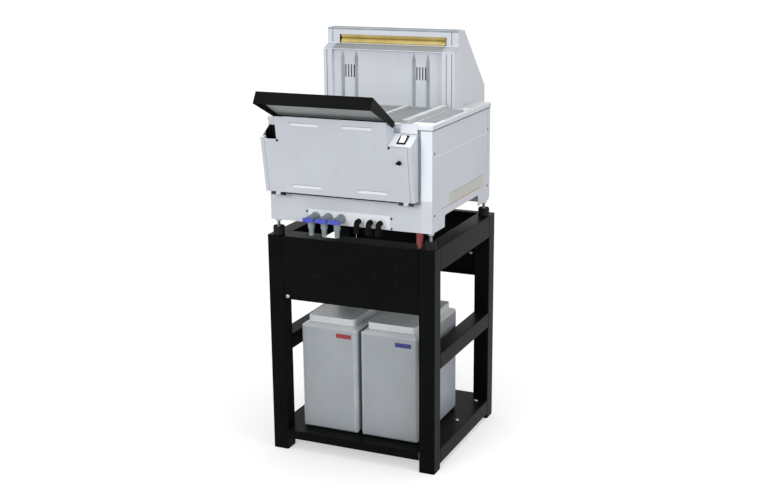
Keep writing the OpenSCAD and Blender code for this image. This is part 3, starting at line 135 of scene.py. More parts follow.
thinWalled = {"Subsurface Weight": 0.25, "Subsurface Scale": 0.008}
looks = {
    # powder-coated steel, baked on: satin black with orange peel, drawn at 4 mm so that it shows
    "blackPowderCoat": {"colour": "#0d0e0e", "shade": "#090a0a", "cloudMm": 220, "grainMm": 4,
                        "reliefMm": 0.05, "roughness": (0.3, 0.44), "speck": ("#222422", 0.2, 26, 2),
                        "shader": {"Specular IOR Level": 0.03}},
    # stove-enamelled sheet steel: cool light grey, fine leather grain drawn at 3 mm
    "greyEnamel": {"colour": "#c8ccd4", "shade": "#c2c6cd", "cloudMm": 320, "grainMm": 3, "reliefMm": 0.03,
                   "roughness": (0.42, 0.56), "speck": ("#b9bcc0", 0.35, 46, 3),
                   "shader": {"Specular IOR Level": 0.4}},
    # the same enamel in a paler mix, on the dryer and the top frame; also painted on the front column's lower
    # part as a milder painted highlight
    "paleEnamel": {"colour": "#cfd2da", "shade": "#c9ccd2", "cloudMm": 300, "grainMm": 3, "reliefMm": 0.03,
                   "roughness": (0.42, 0.56), "speck": ("#bfc2c4", 0.3, 42, 2),
                   "shader": {"Specular IOR Level": 0.4}},
    # white enamel of the service plate, also painted on as highlight: front column, side crease, groove
    # floors, slab front
    "brightEnamel": {"colour": "#e6eaf1", "shade": "#dfe3ea", "cloudMm": 260, "grainMm": 3, "reliefMm": 0.02,
                     "roughness": (0.36, 0.48), "shader": {"Specular IOR Level": 0.45}},
    # the enamel along seams, also painted on as shade in folds, grooves, recesses, moulded lines and under
    # overhangs
    "dullEnamel": {"colour": "#9aa1aa", "shade": "#8d949c", "cloudMm": 60, "grainMm": 3, "reliefMm": 0.03,
                   "roughness": (0.5, 0.62), "shader": {"Specular IOR Level": 0.3}},
    # the dark gap between two sheets
    "seamShadow": {"colour": "#43474b", "shade": "#3a3e41", "cloudMm": 60, "grainMm": 2, "reliefMm": 0.02,
                   "roughness": (0.6, 0.7), "shader": {"Specular IOR Level": 0.1}},
    # lacquered band low on the side: pale warm grey
    "warmBand": {"colour": "#bfc1bc", "shade": "#b9bbb6", "cloudMm": 120, "grainMm": 3, "reliefMm": 0.02,
                 "roughness": (0.42, 0.56), "shader": {"Specular IOR Level": 0.4}},
    # thin lacquered line under the band: faded orange
    "orangeStripe": {"colour": "#b5624c", "shade": "#a9563f", "cloudMm": 20, "grainMm": 1.5,
                     "reliefMm": 0.01, "roughness": (0.35, 0.45)},
    # vacuum-formed ABS of the main cover: warm mid grey with a stippled skin; also painted as shade on the
    # dryer's ledge and top
    "coverGrey": {"colour": "#777c7e", "shade": "#6f7373", "cloudMm": 140, "grainMm": 2.5, "reliefMm": 0.05,
                  "roughness": (0.5, 0.62), "shader": {"Specular IOR Level": 0.35}},
    # the same ABS, a little paler, on the small cover beside it
    "serviceGrey": {"colour": "#888c90", "shade": "#808386", "cloudMm": 140, "grainMm": 2.5, "reliefMm": 0.05,
                    "roughness": (0.5, 0.62), "shader": {"Specular IOR Level": 0.35}},
    # paler again, kept clean inside the hood
    "liningGrey": {"colour": "#a6a9aa", "shade": "#9d9f9f", "cloudMm": 140, "grainMm": 2.5, "reliefMm": 0.05,
                   "roughness": (0.5, 0.62), "shader": {"Specular IOR Level": 0.35}},
    # the cover's raised ribs, rubbed pale by hands
    "ribGrey": {"colour": "#b9bdbf", "shade": "#b0b4b5", "cloudMm": 90, "grainMm": 2.5, "reliefMm": 0.04,
                "roughness": (0.46, 0.58), "shader": {"Specular IOR Level": 0.35}},
    # moulded black ABS: even black, low sheen; also put in as painted shade in the feed box's left recess and
    # on the hinge leaf under the door
    "blackAbs": {"colour": "#101111", "shade": "#0b0c0c", "cloudMm": 120, "grainMm": 2, "reliefMm": 0.03,
                 "roughness": (0.36, 0.48), "shader": {"Specular IOR Level": 0.05}},
    # zinc-plated steel: pale metal with a cloudy spangle
    "zincPlate": {"colour": "#b4b6b8", "shade": "#9a9c9e", "cloudMm": 6, "grainMm": 1.5, "reliefMm": 0.02,
                  "roughness": (0.28, 0.42), "shader": {"Metallic": 1.0}},
    # blackened steel: screws and hinges, dark with worn grey patches
    "blackenedSteel": {"colour": "#343638", "shade": "#232425", "cloudMm": 8, "grainMm": 1.5,
                       "reliefMm": 0.02, "roughness": (0.38, 0.5), "shader": {"Metallic": 0.7}},
    # vulcanised rubber: dull black
    "blackRubber": {"colour": "#131313", "shade": "#1b1b1a", "cloudMm": 25, "grainMm": 1.2, "reliefMm": 0.05,
                    "roughness": (0.68, 0.82), "shader": {"Specular IOR Level": 0.2}},
    # moulded polycarbonate: glossy warm white
    "whitePolycarbonate": {"colour": "#f3f2ee", "shade": "#ebeae5", "cloudMm": 30, "grainMm": 2,
                           "reliefMm": 0.01, "roughness": (0.16, 0.24)},
    # injection-moulded PVC of the valves: blue-grey, half gloss
    "greyPvc": {"colour": "#868f94", "shade": "#7b8488", "cloudMm": 30, "grainMm": 1.6, "reliefMm": 0.02,
                "roughness": (0.32, 0.44)},
    # moulded nylon: strong blue, slightly waxy
    "blueNylon": {"colour": "#4554c4", "shade": "#3a47ae", "cloudMm": 20, "grainMm": 1.4, "reliefMm": 0.02,
                  "roughness": (0.3, 0.42), "shader": {"Subsurface Weight": 0.1, "Subsurface Scale": 0.002}},
    # moulded PVC: clean white
    "whitePvc": {"colour": "#ecedea", "shade": "#e2e3df", "cloudMm": 26, "grainMm": 1.6, "reliefMm": 0.02,
                 "roughness": (0.3, 0.42)},
    # welded PVC sheet: dull charcoal, stained by solution
    "darkPvc": {"colour": "#3a3d40", "shade": "#303336", "cloudMm": 60, "grainMm": 2.4, "reliefMm": 0.03,
                "roughness": (0.45, 0.6)},
    # moulded PVC: brick red
    "redPvc": {"colour": "#7c2a2a", "shade": "#6a2323", "cloudMm": 20, "grainMm": 1.6, "reliefMm": 0.02,
               "roughness": (0.35, 0.48)},
    # machined sheet of cream thermoplastic: rack plates, lightly stained
    "creamPlastic": {"colour": "#d9d4c6", "shade": "#cdc6b4", "cloudMm": 60, "grainMm": 2, "reliefMm": 0.03,
                     "roughness": (0.42, 0.55), "speck": ("#b3a88e", 0.3, 30, 3)},
    # ground phenolic roller: grey-brown with fine turning lines round it
    "greyPhenolic": {"colour": "#8b8c8c", "shade": "#7d7f80", "cloudMm": 50, "grainMm": 1.6,
                     "stretch": (1, 12, 12), "reliefMm": 0.02, "roughness": (0.35, 0.48)},
    # hammered paint on a cast body
    "motorPaint": {"colour": "#53575b", "shade": "#474b4f", "cloudMm": 40, "grainMm": 2, "reliefMm": 0.05,
                   "roughness": (0.4, 0.55)},
    # cut acetal: milky gear stock
    "whiteAcetal": {"colour": "#e4dfd2", "shade": "#d9d3c4", "cloudMm": 30, "grainMm": 1.5, "reliefMm": 0.02,
                    "roughness": (0.3, 0.4)},
    # cast silicone rubber: amber, faintly translucent, fine lines along the roller
    "amberSilicone": {"colour": "#cab772", "shade": "#b9a055", "cloudMm": 60, "grainMm": 1.6,
                      "stretch": (10, 1, 1), "reliefMm": 0.02, "roughness": (0.34, 0.46),
                      "shader": {"Subsurface Weight": 0.12, "Subsurface Scale": 0.003}},
    # blow-moulded polyethylene: milky, waxy, thin enough to glow a little, with faint upright streaks
    "naturalPolythene": {"colour": "#a1a7ad", "shade": "#9ba1a6", "cloudMm": 130, "grainMm": 5,
                         "reliefMm": 0.08, "roughness": (0.3, 0.42), "speck": ("#8f9598", 0.15, 24, 14),
                         "shader": thinWalled},
    # painted highlight on its rounded corners and lower curves
    "cornerHighlightPolythene": {"colour": "#b3b9be", "shade": "#aab0b5", "cloudMm": 90, "grainMm": 5,
                        "reliefMm": 0.06, "roughness": (0.26, 0.38), "shader": thinWalled},
    # painted highlight on its shoulder, neck and lid skirts
    "highlightPolythene": {"colour": "#d4d9dd", "shade": "#ccd1d4", "cloudMm": 90, "grainMm": 5, "reliefMm": 0.06,
                      "roughness": (0.24, 0.36), "shader": thinWalled},
    # the lids' flat tops: painted greyer as shade, glossy where fingers have polished them
    "shadedTopPolythene": {"colour": "#b9bfbf", "shade": "#acb2b1", "cloudMm": 80, "grainMm": 5, "reliefMm": 0.05,
                     "roughness": (0.2, 0.32)},
    # printed vinyl labels
    "redVinyl": {"colour": "#96232c", "shade": "#8b1e27", "cloudMm": 12, "grainMm": 1.5, "reliefMm": 0.01,
                 "roughness": (0.3, 0.4)},
    "blueVinyl": {"colour": "#222c78", "shade": "#1d2669", "cloudMm": 12, "grainMm": 1.5, "reliefMm": 0.01,
                  "roughness": (0.3, 0.4)},
}
for name, look in looks.items():
    makeMaterial(name, look)
print("materials made:", len(materials))


# Each mesh tool below takes and returns a bmesh in millimetres

def roundEdges(part, width, segments=2, sharp=30, along=None):
    chosen = []
    for edge in part.edges:
        if len(edge.link_faces) == 2 and math.degrees(edge.calc_face_angle(0)) > sharp:
            run = (edge.verts[1].co - edge.verts[0].co).normalized()
            if along is None or abs(run[along]) > 0.99:
                chosen.append(edge)
    if width and chosen:
        bmesh.ops.bevel(part, geom=chosen, offset=width, offset_type="OFFSET", segments=segments,
                        profile=0.5, affect="EDGES", clamp_overlap=False, material=-1)
    return part


def paint(part, tint):
    for face in part.faces:
        face.material_index = tint
    return part


def boxPart(x, y, z, edge=1.0):
    part = bmesh.new()
    bmesh.ops.create_cube(part, size=1)
    bmesh.ops.scale(part, vec=(x[1] - x[0], y[1] - y[0], z[1] - z[0]), verts=part.verts)
    bmesh.ops.translate(part, vec=((x[0] + x[1]) / 2, (y[0] + y[1]) / 2, (z[0] + z[1]) / 2), verts=part.verts)
    return roundEdges(part, edge)


def turnedPart(profile, start, direction, steps=32, tint=0):
    # The profile gives pairs of a radius and a distance along the axis
    part = bmesh.new()
    line = [part.verts.new((radius, 0, along)) for radius, along in profile]
    edges = [part.edges.new(pair) for pair in zip(line, line[1:])]
    bmesh.ops.spin(part, geom=line + edges, cent=(0, 0, 0), axis=(0, 0, 1), dvec=(0, 0, 0),
                   angle=math.tau, steps=steps, use_merge=True, use_duplicate=False)
    bmesh.ops.remove_doubles(part, verts=part.verts, dist=0.001)
    bmesh.ops.recalc_face_normals(part, faces=part.faces)
    turn = Vector((0, 0, 1)).rotation_difference(Vector(direction)).to_matrix().to_4x4()
    bmesh.ops.transform(part, matrix=Matrix.Translation(start) @ turn, verts=part.verts)
    return paint(part, tint)


def nutPart(radius, depth, edge, place, turn=0):
    part = bmesh.new()
    bmesh.ops.create_cone(part, cap_ends=True, segments=6, radius1=radius, radius2=radius, depth=depth)
    roundEdges(part, edge)
    turned = Matrix.Rotation(math.radians(turn), 4, "X")
    bmesh.ops.transform(part, matrix=Matrix.Translation(place) @ turned, verts=part.verts)
    return part


def nodePart(node, edge=0.8, tint=0, segments=2):
    # A rounded copy of a CAD node, whose own mesh is left alone
    part = bmesh.new()
    part.from_mesh(nodes[node].data)
    bmesh.ops.scale(part, vec=(1000, 1000, 1000), verts=part.verts)
    bmesh.ops.translate(part, vec=(0, -depthShift, 0), verts=part.verts)
    bmesh.ops.remove_doubles(part, verts=part.verts, dist=0.002)
    return paint(roundEdges(part, edge, segments), tint)


def tintRegion(part, tint, x=None, y=None, z=None, facing=None):
    # Cuts the faces along the region's limits and paints those inside it
    limits = (x, y, z)
    for axis, span in enumerate(limits):
        for value in span or ():
            spot = [0, 0, 0]
            spot[axis] = value
            normal = [float(axis == k) for k in range(3)]
            bmesh.ops.bisect_plane(part, geom=part.verts[:] + part.edges[:] + part.faces[:], dist=0.01,
                                   plane_co=spot, plane_no=normal)
    for face in part.faces:
        middle = face.calc_center_median()
        inside = all(span is None or span[0] <= middle[axis] <= span[1] for axis, span in enumerate(limits))
        if inside and (facing is None or face.normal.dot(Vector(facing)) > 0.5):
            face.material_index = tint
    return part


crispAngle = 38      # an edge sharper than this keeps its crease when the faces are smoothed


def build(name, body, tints, parts, stands=()):
    joined = bmesh.new()
    scratch = bpy.data.meshes.new("scratch")
    for part in parts:
        part.to_mesh(scratch)
        joined.from_mesh(scratch)
        part.free()
    bpy.data.meshes.remove(scratch)
    bmesh.ops.translate(joined, vec=(0, depthShift, 0), verts=joined.verts)
    bmesh.ops.scale(joined, vec=(0.001, 0.001, 0.001), verts=joined.verts)
    for face in joined.faces:
        face.smooth = True
    for edge in joined.edges:
        edge.smooth = len(edge.link_faces) == 2 and math.degrees(edge.calc_face_angle(0)) < crispAngle
    mesh = bpy.data.meshes.new(name)
    joined.to_mesh(mesh)
    joined.free()
    for tint in tints:
        mesh.materials.append(materials[tint])
    piece = bpy.data.objects.new(name, mesh)
    scene.collection.objects.link(piece)
    weighted = piece.modifiers.new("weightedNormals", "WEIGHTED_NORMAL")
    weighted.keep_sharp = True
    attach(piece, body)
    if stands:
        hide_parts(*stands)


# Pieces in the shape of their CAD node, edges rounded: piece, node, body, slot, material, radius in mm
plainPieces = [
    ("sideRails", "side_rails", "root", "powder_coat_black", "blackPowderCoat", 2.0),
    ("rearApron", "rear_apron", "root", "powder_coat_black", "blackPowderCoat", 0.7),
    ("standShelf", "shelf", "root", "powder_coat_black", "blackPowderCoat", 0.9),
    ("chassisPan", "chassis", "root", "powder_coat_grey", "greyEnamel", 0.8),
    ("leftSidePanel", "left_side_panel", "root", "powder_coat_grey", "greyEnamel", 1.2),
    ("rightSidePanel", "right_side_panel", "root", "powder_coat_grey", "greyEnamel", 1.2),
    ("frontPanel", "front_panel", "root", "powder_coat_grey", "greyEnamel", 1.0),
    ("rearPanel", "rear_panel", "root", "powder_coat_grey", "greyEnamel", 1.0),
    ("topFrame", "top_frame", "root", "abs_pale", "paleEnamel", 1.2),
    ("mainsInlet", "mains_inlet", "root", "abs_black", "blackAbs", 0.5),
    ("feedBox", "feed_box", "root", "powder_coat_grey", "greyEnamel", 0.8),
    ("doorHinges", "door_hinges", "root", "zinc_steel", "blackenedSteel", 0.5),
    ("doorLatch", "door_latch", "door_latch", "abs_black", "blackAbs", 0.7),
    ("doorScrews", "door_screws", "front_door", "abs_black", "blackAbs", 0.9),
    ("feedLid", "feed_lid", "feed_lid", "abs_black", "blackAbs", 1.2),
    ("lidLiner", "lid_liner", "feed_lid", "abs_cover_grey", "liningGrey", 0.6),
    ("switchBezel", "switch_bezel", "root", "abs_black", "blackAbs", 0.7),
    ("switchRocker", "switch_rocker", "switch_rocker", "switch_white", "whitePolycarbonate", 1.0),
    ("valvePlate", "valve_plate", "root", "powder_coat_grey", "brightEnamel", 0.6),
    ("mainCover", "main_cover", "main_cover", "abs_cover_grey", "coverGrey", 1.3),
    ("serviceCover", "service_cover", "service_cover", "abs_cover_grey", "serviceGrey", 1.3),
    ("processingTank", "tank", "root", "pvc_dark", "darkPvc", 1.0),
    ("developerRack", "developer_rack", "developer_rack", "rack_cream", "creamPlastic", 0.8),
    ("fixerRack", "fixer_rack", "fixer_rack", "rack_cream", "creamPlastic", 0.8),
    ("washRack", "wash_rack", "wash_rack", "rack_cream", "creamPlastic", 0.8),
    ("driveMotor", "drive_motor", "root", "motor_grey", "motorPaint", 1.0),
    ("driveBelt", "drive_belt", "root", "belt_black", "blackRubber", 0.3),
    ("dryerHousing", "dryer_housing", "root", "powder_coat_grey", "paleEnamel", 1.2),
    ("dryerBack", "dryer_back", "root", "powder_coat_grey", "greyEnamel", 0.9),
    ("rollerBrackets", "roller_brackets", "root", "abs_black", "blackAbs", 0.6),
    ("fanHousing", "fan_housing", "root", "abs_black", "blackAbs", 0.8),
    ("fanWheel", "fan_wheel", "fan_wheel", "abs_black", "blackAbs", 0.5),
    ("overflowDrain", "overflow_drain", "root", "pvc_red", "redPvc", 0.8),
]
for n in "123":
    plainPieces += [
        ("valveHandle" + n, "valve_handle_" + n, "valve_handle_" + n, "nylon_blue", "blueNylon", 1.0),
        ("driveRoller" + n, "drive_roller_" + n, "drive_roller_" + n, "roller_grey", "greyPhenolic", 0.3),
        ("turnRoller" + n, "turn_roller_" + n, "turn_roller_" + n, "roller_grey", "greyPhenolic", 0.8),
        ("driveGear" + n, "drive_gear_" + n, "drive_gear_" + n, "acetal_gear", "whiteAcetal", 0.25),
    ]

sideX, sideY, sideZ = extent("right_side_panel")
frontX, frontY = extent("front_panel")[:2]
casing = {"left": frontX[0], "right": sideX[1], "front": frontY[0], "rear": sideY[1],
          "bottom": sideZ[0], "slab": sideZ[1], "top": sideZ[1] + 16}
forwards, upwards = (0, -1, 0), (0, 0, 1)

# Painted regions of those pieces: material, then the X, Y and Z ranges and the way the faces look
column = {"x": (276, casing["right"]), "y": near(casing["front"]), "step": 1003}
leftRecess = {"x": (-300.2, -241.4), "y": (-346, -311), "z": (1004, 1232), "sheetX": (-300, -290)}
skin = (casing["right"] - 0.5, casing["right"] + 1)
slabGap = (casing["slab"] - 4, casing["slab"] + 1)
regions = {
    "frontPanel": [
        # painted highlight on the front column beside the feed box, milder below the step; painted shade
        # under the slab
        ("paleEnamel", column["x"], column["y"], (casing["bottom"], column["step"]), forwards),
        ("brightEnamel", column["x"], column["y"], (column["step"], casing["slab"]), forwards),
        ("dullEnamel", column["x"], column["y"], slabGap, forwards),
        # a black sheet as painted shade in the left recess
        ("blackAbs", leftRecess["sheetX"], (casing["front"] - 1, casing["front"] + 4), leftRecess["z"], None),
    ],
    "rightSidePanel": [
        # painted highlight along the pressed crease
        ("brightEnamel", skin, (-290, 236), near(1152), None),
        # dark seam lines, upright and along the band's top
        ("dullEnamel", skin, near(237.5), (960, casing["slab"]), None),
        ("warmBand", skin, (-161, 200), (955, 1000), None),
        ("dullEnamel", skin, (-161, 200), near(1000), None),
        ("orangeStripe", skin, (-237, 160), near(960, 1.2), None),
        # painted shadow under the slab's edge
        ("seamShadow", skin, (casing["front"], casing["rear"]), slabGap, None),
    ],
    "feedBox": [
        # black put in as painted shade inside the left recess
        ("blackAbs", leftRecess["x"], leftRecess["y"], leftRecess["z"], None),
        # painted shade on the strip seen in the slot beside the feed box
        ("dullEnamel", (255, 283), (casing["front"] + 2, casing["front"] + 7), (980, casing["slab"]), None),
    ],
    "topFrame": [
        # painted highlight on the slab's front
        ("brightEnamel", (186, 319), (-324, -314), (1228, casing["top"] + 1), forwards),
        ("ribGrey", (-310, 320), (-190, 270), near(casing["top"]), upwards),
        ("whitePvc", (245, 311), (-311, -275), (casing["top"] + 0.3, casing["top"] + 4), None),
    ],
    # hinge leaf painted black as the shadow line under the door
    "doorHinges": [("blackAbs", (-235, 185), None, None, None)],
    "mainCover": [("ribGrey", None, None, (casing["top"] + 0.8, casing["top"] + 16), None)],
}

# Dryer tower: painted shade on the ledge and the crown's top, on the ledge's ends and the crown's front edge,
# beside two pairs of ribs and along moulded lines
towerX, towerY, towerZ = extent("dryer_housing")
tower = {"front": towerY[0], "crown": towerY[0] + 41, "crownDepth": 60, "top": towerZ[1],
         "panel": (towerX[0] + 35, towerX[1] - 50), "inner": (towerX[0] + 1, towerX[1] - 1)}
ledgeY = (tower["front"] + 1, tower["crown"] - 1)
ledgeZ = (tower["top"] - 74.5, tower["top"] - 56.5)
crownTop = (tower["crown"] + 1, tower["crown"] + tower["crownDepth"] - 1)
regions["dryerHousing"] = [
    ("coverGrey", tower["panel"], ledgeY, ledgeZ, None),
    ("dullEnamel", (towerX[0], tower["panel"][0]), ledgeY, ledgeZ, None),
    ("dullEnamel", (tower["panel"][1], towerX[1]), ledgeY, ledgeZ, None),
    ("dullEnamel", tower["inner"], (tower["crown"] - 1, tower["crown"] + 1.5),
     (tower["top"] - 7, tower["top"] + 1), forwards),
    ("coverGrey", tower["inner"], crownTop, near(tower["top"]), upwards),
]
rib = {"middles": (tower["panel"][0] + 67, tower["panel"][1] - 85), "apart": 27.5, "half": 6.2,
       "y": (tower["front"] + 10.5, tower["front"] + 13.5), "z": (casing["top"], tower["top"] - 81)}
for middle in rib["middles"]:
    for side in (-1, 1):
        x = near(middle + side * rib["apart"], rib["half"])
        regions["dryerHousing"].append(("dullEnamel", x, rib["y"], rib["z"], None))
lineHalf = 1.3
lines = (      # where the lines lie in depth, their Z range, and the X of each
    (tower["front"], (casing["top"], tower["top"] - 78), (towerX[0] + 14, towerX[1] - 32, towerX[1] - 11.5)),
    (tower["crown"], (tower["top"] - 53, tower["top"]), (towerX[0] + 20, towerX[1] - 27.5)),
)
for y, z, places in lines:
    for x in places:
        regions["dryerHousing"].append(("dullEnamel", near(x, lineHalf), (y + 0.2, y + 1.7), z, None))

for name, node, body, slot, tint, edge in plainPieces:
    part = nodePart(node, edge)
    tints = [tint]
    for other, x, y, z, facing in regions.get(name, ()):
        if other not in tints:
            tints.append(other)
        tintRegion(part, tints.index(other), x, y, z, facing)
    build(name, body, tints, [part], [node])
print("plain pieces made:", len(plainPieces))

# Front aprons, each with a folded return at both ends, which closes the gap at the posts' rounded corners
apronX, apronY, apronZ = extent("front_aprons")
fold = {"depth": 20, "sheet": 2, "under": 3, "gap": 0.1, "edge": 0.3}
parts = [nodePart("front_aprons", 0.7)]
leftEnd = apronX[0] + fold["gap"]
rightEnd = apronX[1] - fold["gap"]
for x in ((leftEnd, leftEnd + fold["sheet"]), (rightEnd - fold["sheet"], rightEnd)):
    parts.append(boxPart(x, (apronY[0] + 1, apronY[0] + fold["depth"]),
                         (apronZ[0] + 1, apronZ[1] - fold["under"]), fold["edge"]))
build("frontAprons", "root", ["blackPowderCoat"], parts, ["front_aprons"])

# Front door: its pressed grooves have a painted highlight on their sloping floors under a painted shade on
# the upper edge. Each groove is given by its X and its distance up the door
door = {"foot": (-350, 999), "lean": 8.9, "grooves": ((-128, 255), (73, 255), (-138, 28), (113, 28)),
        "halfLength": 55.5, "halfHeight": 6, "depths": (0.2, 3.4)}
part = nodePart("front_door", 0.5)
lean = math.radians(door["lean"])
upDoor = Vector((0, -math.sin(lean), math.cos(lean)))
intoDoor = Vector((0, math.cos(lean), math.sin(lean)))
for face in part.faces:
    middle = face.calc_center_median()
    spot = middle - Vector((0,) + door["foot"])
    up, deep = spot.dot(upDoor), spot.dot(intoDoor)
    for x, along in door["grooves"]:
        inGroove = abs(middle.x - x) < door["halfLength"] and abs(up - along) < door["halfHeight"]
        pressed = door["depths"][0] < deep < door["depths"][1] and face.normal.dot(intoDoor) < 0.3
        if inGroove and pressed:
            # up-facing groove faces get the painted highlight, the rest the painted shade
            face.material_index = 1 if face.normal.dot(upDoor) > 0.1 else 2
build("frontDoor", "front_door", ["greyEnamel", "brightEnamel", "dullEnamel"],
      [part], ["front_door"])

# Stand posts: square tube with rounded corners, open at the foot
standX, standY, standZ = extent("stand_posts")
post = {"half": 30, "wall": 3, "corner": 4, "rim": 0.8, "bore": 60}
bayX = standX[1] - 2 * post["half"]
parts = []
for x in (standX[0] + post["half"], standX[1] - post["half"]):
    for y in (standY[0] + post["half"], standY[1] - post["half"]):
        part = boxPart(near(x, post["half"]), near(y, post["half"]), standZ, 0)
        roundEdges(part, post["corner"], segments=4, along=2)
        roundEdges(part, post["rim"], segments=1, sharp=60)
        large = [face for face in part.faces if face.calc_area() > 100]
        bottom = min(large, key=lambda face: face.calc_center_median().z)
        bmesh.ops.inset_region(part, faces=[bottom], thickness=post["wall"], depth=0)
        bmesh.ops.inset_region(part, faces=[bottom], thickness=0.01, depth=-post["bore"])
        parts.append(part)
build("standPosts", "root", ["blackPowderCoat"], parts, ["stand_posts"])

# Domed bolts with a hexagon-key hollow: on the shelf, the front apron's left end and the rear apron
dome = [(0, 2.6), (3, 2.6), (3, 4.9), (5, 4.6), (7, 3.2), (8, 1.2), (8, 0), (0, 0)]
bolt = {"shelfX": bayX + 21, "shelfY": (18, 233), "shelfTop": 78,
        "frontApron": (15 - bayX, -311, 603), "rearX": 231, "rearY": 312, "rearZ": 659}
parts = [turnedPart(dome, (side * bolt["shelfX"], y, bolt["shelfTop"]), upwards)
         for side in (-1, 1) for y in bolt["shelfY"]]
parts.append(turnedPart(dome, bolt["frontApron"], forwards))
parts += [turnedPart(dome, (side * bolt["rearX"], bolt["rearY"], bolt["rearZ"]), forwards)
          for side in (-1, 1)]
build("standBolts", "root", ["zincPlate"], parts, ["stand_bolts"])

# Levelling feet: threaded screws on discs, with lock nuts, in rubber cups on the stand's top
foot = {"x": (-288, 302), "y": (-292, 250), "screwR": 6, "pitch": 2.0, "disc": 14, "floor": 835, "top": 915,
        "nutR": 12, "nutDepth": 10, "nutZ": 885, "cupR": 21}
cupZ = standZ[1]
rim = foot["cupR"]
cup = [(0, cupZ), (rim - 2, cupZ), (rim, cupZ + 2), (rim, cupZ + 29), (rim - 1.5, cupZ + 32),
       (rim - 4.5, cupZ + 32), (rim - 6, cupZ + 30), (rim - 6, cupZ + 7), (0, cupZ + 7)]
thread = [(0, foot["floor"]), (foot["disc"], foot["floor"]), (foot["disc"], foot["floor"] + 7),
          (foot["screwR"], foot["floor"] + 8)]
z = foot["floor"] + 9
while z < foot["top"] - foot["pitch"]:
    thread += [(foot["screwR"] - 0.7, z), (foot["screwR"], z + foot["pitch"] / 2)]
    z += foot["pitch"]
thread += [(5, foot["top"]), (0, foot["top"])]
studs, cups = [], []
for x in foot["x"]:
    for y in foot["y"]:
        studs.append(turnedPart(thread, (x, y, 0), upwards, 20))
        studs.append(nutPart(foot["nutR"], foot["nutDepth"], 0.9, (x, y, foot["nutZ"])))
        cups.append(turnedPart(cup, (x, y, 0), upwards, 40))
build("levellingFeet", "root", ["zincPlate"], studs, ["levelling_feet"])
build("rubberCups", "root", ["blackRubber"], cups, ["rubber_cups"])

# Small screws of the service plate, the side panels and the rear panel
screwHead = [(0, 2), (1.6, 1.95), (3, 1.4), (4, 0.3), (4, 0), (0, 0)]
screw = {"plateX": (-159, 167), "plateZ": (895, 931), "sideY": (-298, 238), "sideZ": (950, 1165),
         "rearX": (-264, 278), "rearZ": (952, 1082)}
parts = []
for x in screw["plateX"]:
    for z in screw["plateZ"]:
        parts.append(turnedPart(screwHead, (x, casing["front"], z), forwards, 20))
for y in screw["sideY"]:
    for z in screw["sideZ"]:
        parts += [turnedPart(screwHead, (casing["right"], y, z), (1, 0, 0), 20),
                  turnedPart(screwHead, (casing["left"], y, z), (-1, 0, 0), 20)]
for x in screw["rearX"]:
    for z in screw["rearZ"]:
        parts.append(turnedPart(screwHead, (x, casing["rear"], z), (0, 1, 0), 20))
build("caseScrews", "root", ["blackenedSteel"], parts, ["case_screws"])

# Angle valves: a barrel out of the plate, and a barbed spigot down from it
valve = {"x": (-123, -73, -23), "z": 915, "face": -320, "drop": -356}
barrel = [(0, 0), (17, 0), (17, 6), (15.5, 9), (14, 10), (14, 26), (13, 28), (13, 40), (14.5, 41.5),
          (14.5, 47), (13, 50), (5.2, 50), (5.2, 46), (0, 46)]
spigot = [(0, 0), (12.5, 0), (12.5, 30), (11.5, 34), (9, 34), (9, 38), (9.6, 38), (8.8, 43), (9.6, 43),
          (8.8, 48), (9.6, 48), (8.8, 53), (9.4, 53), (8.6, 59), (8, 60), (6, 60), (6, 36), (0, 36)]
parts = []
for x in valve["x"]:
    parts.append(turnedPart(barrel, (x, valve["face"], valve["z"]), forwards, 40))
    parts.append(turnedPart(spigot, (x, valve["drop"], valve["z"]), (0, 0, -1)))
build("valveBodies", "root", ["greyPvc"], parts, ["valve_bodies"])

# Inlets: a white nut on the plate, then a black stub, elbow and barbed end
inlet = {"x": (49, 94, 131), "z": 915, "nutR": 15, "nutDepth": 10, "nutY": -325, "tubeR": 10, "stubY": -330,
         "elbowY": -338, "bend": 12, "endY": -350, "endZ": 901}
stub = [(0, 0), (10, 0), (10, 10), (0, 10)]
barbedEnd = [(0, 0), (11.5, 0), (11.5, 5), (10, 6), (10, 10), (10.6, 10), (9.7, 15), (10.6, 15), (9.6, 26),
             (5, 26), (5, 4), (0, 4)]
quarterTurn = math.radians(90)
parts = []
for x in inlet["x"]:
    parts.append(nutPart(inlet["nutR"], inlet["nutDepth"], 1.2, (x, inlet["nutY"], inlet["z"]), turn=90))
    elbow = bmesh.new()
    bmesh.ops.create_circle(elbow, cap_ends=True, segments=28, radius=inlet["tubeR"])
    bmesh.ops.rotate(elbow, cent=(0, 0, 0), matrix=Matrix.Rotation(quarterTurn, 3, "X"), verts=elbow.verts)
    bmesh.ops.translate(elbow, vec=(x, inlet["elbowY"], inlet["z"]), verts=elbow.verts)
    bmesh.ops.spin(elbow, geom=elbow.verts[:] + elbow.edges[:] + elbow.faces[:],
                   cent=(x, inlet["elbowY"], inlet["z"] - inlet["bend"]), axis=(1, 0, 0), dvec=(0, 0, 0),
                   angle=quarterTurn, steps=10, use_duplicate=False)
    bmesh.ops.recalc_face_normals(elbow, faces=elbow.faces)
    parts.append(paint(elbow, 1))
    parts.append(turnedPart(stub, (x, inlet["stubY"], inlet["z"]), forwards, 28, 1))
    parts.append(turnedPart(barbedEnd, (x, inlet["endY"], inlet["endZ"]), (0, 0, -1), 28, 1))
build("inletFittings", "root", ["whitePvc", "blackAbs"], parts, ["inlet_fittings"])

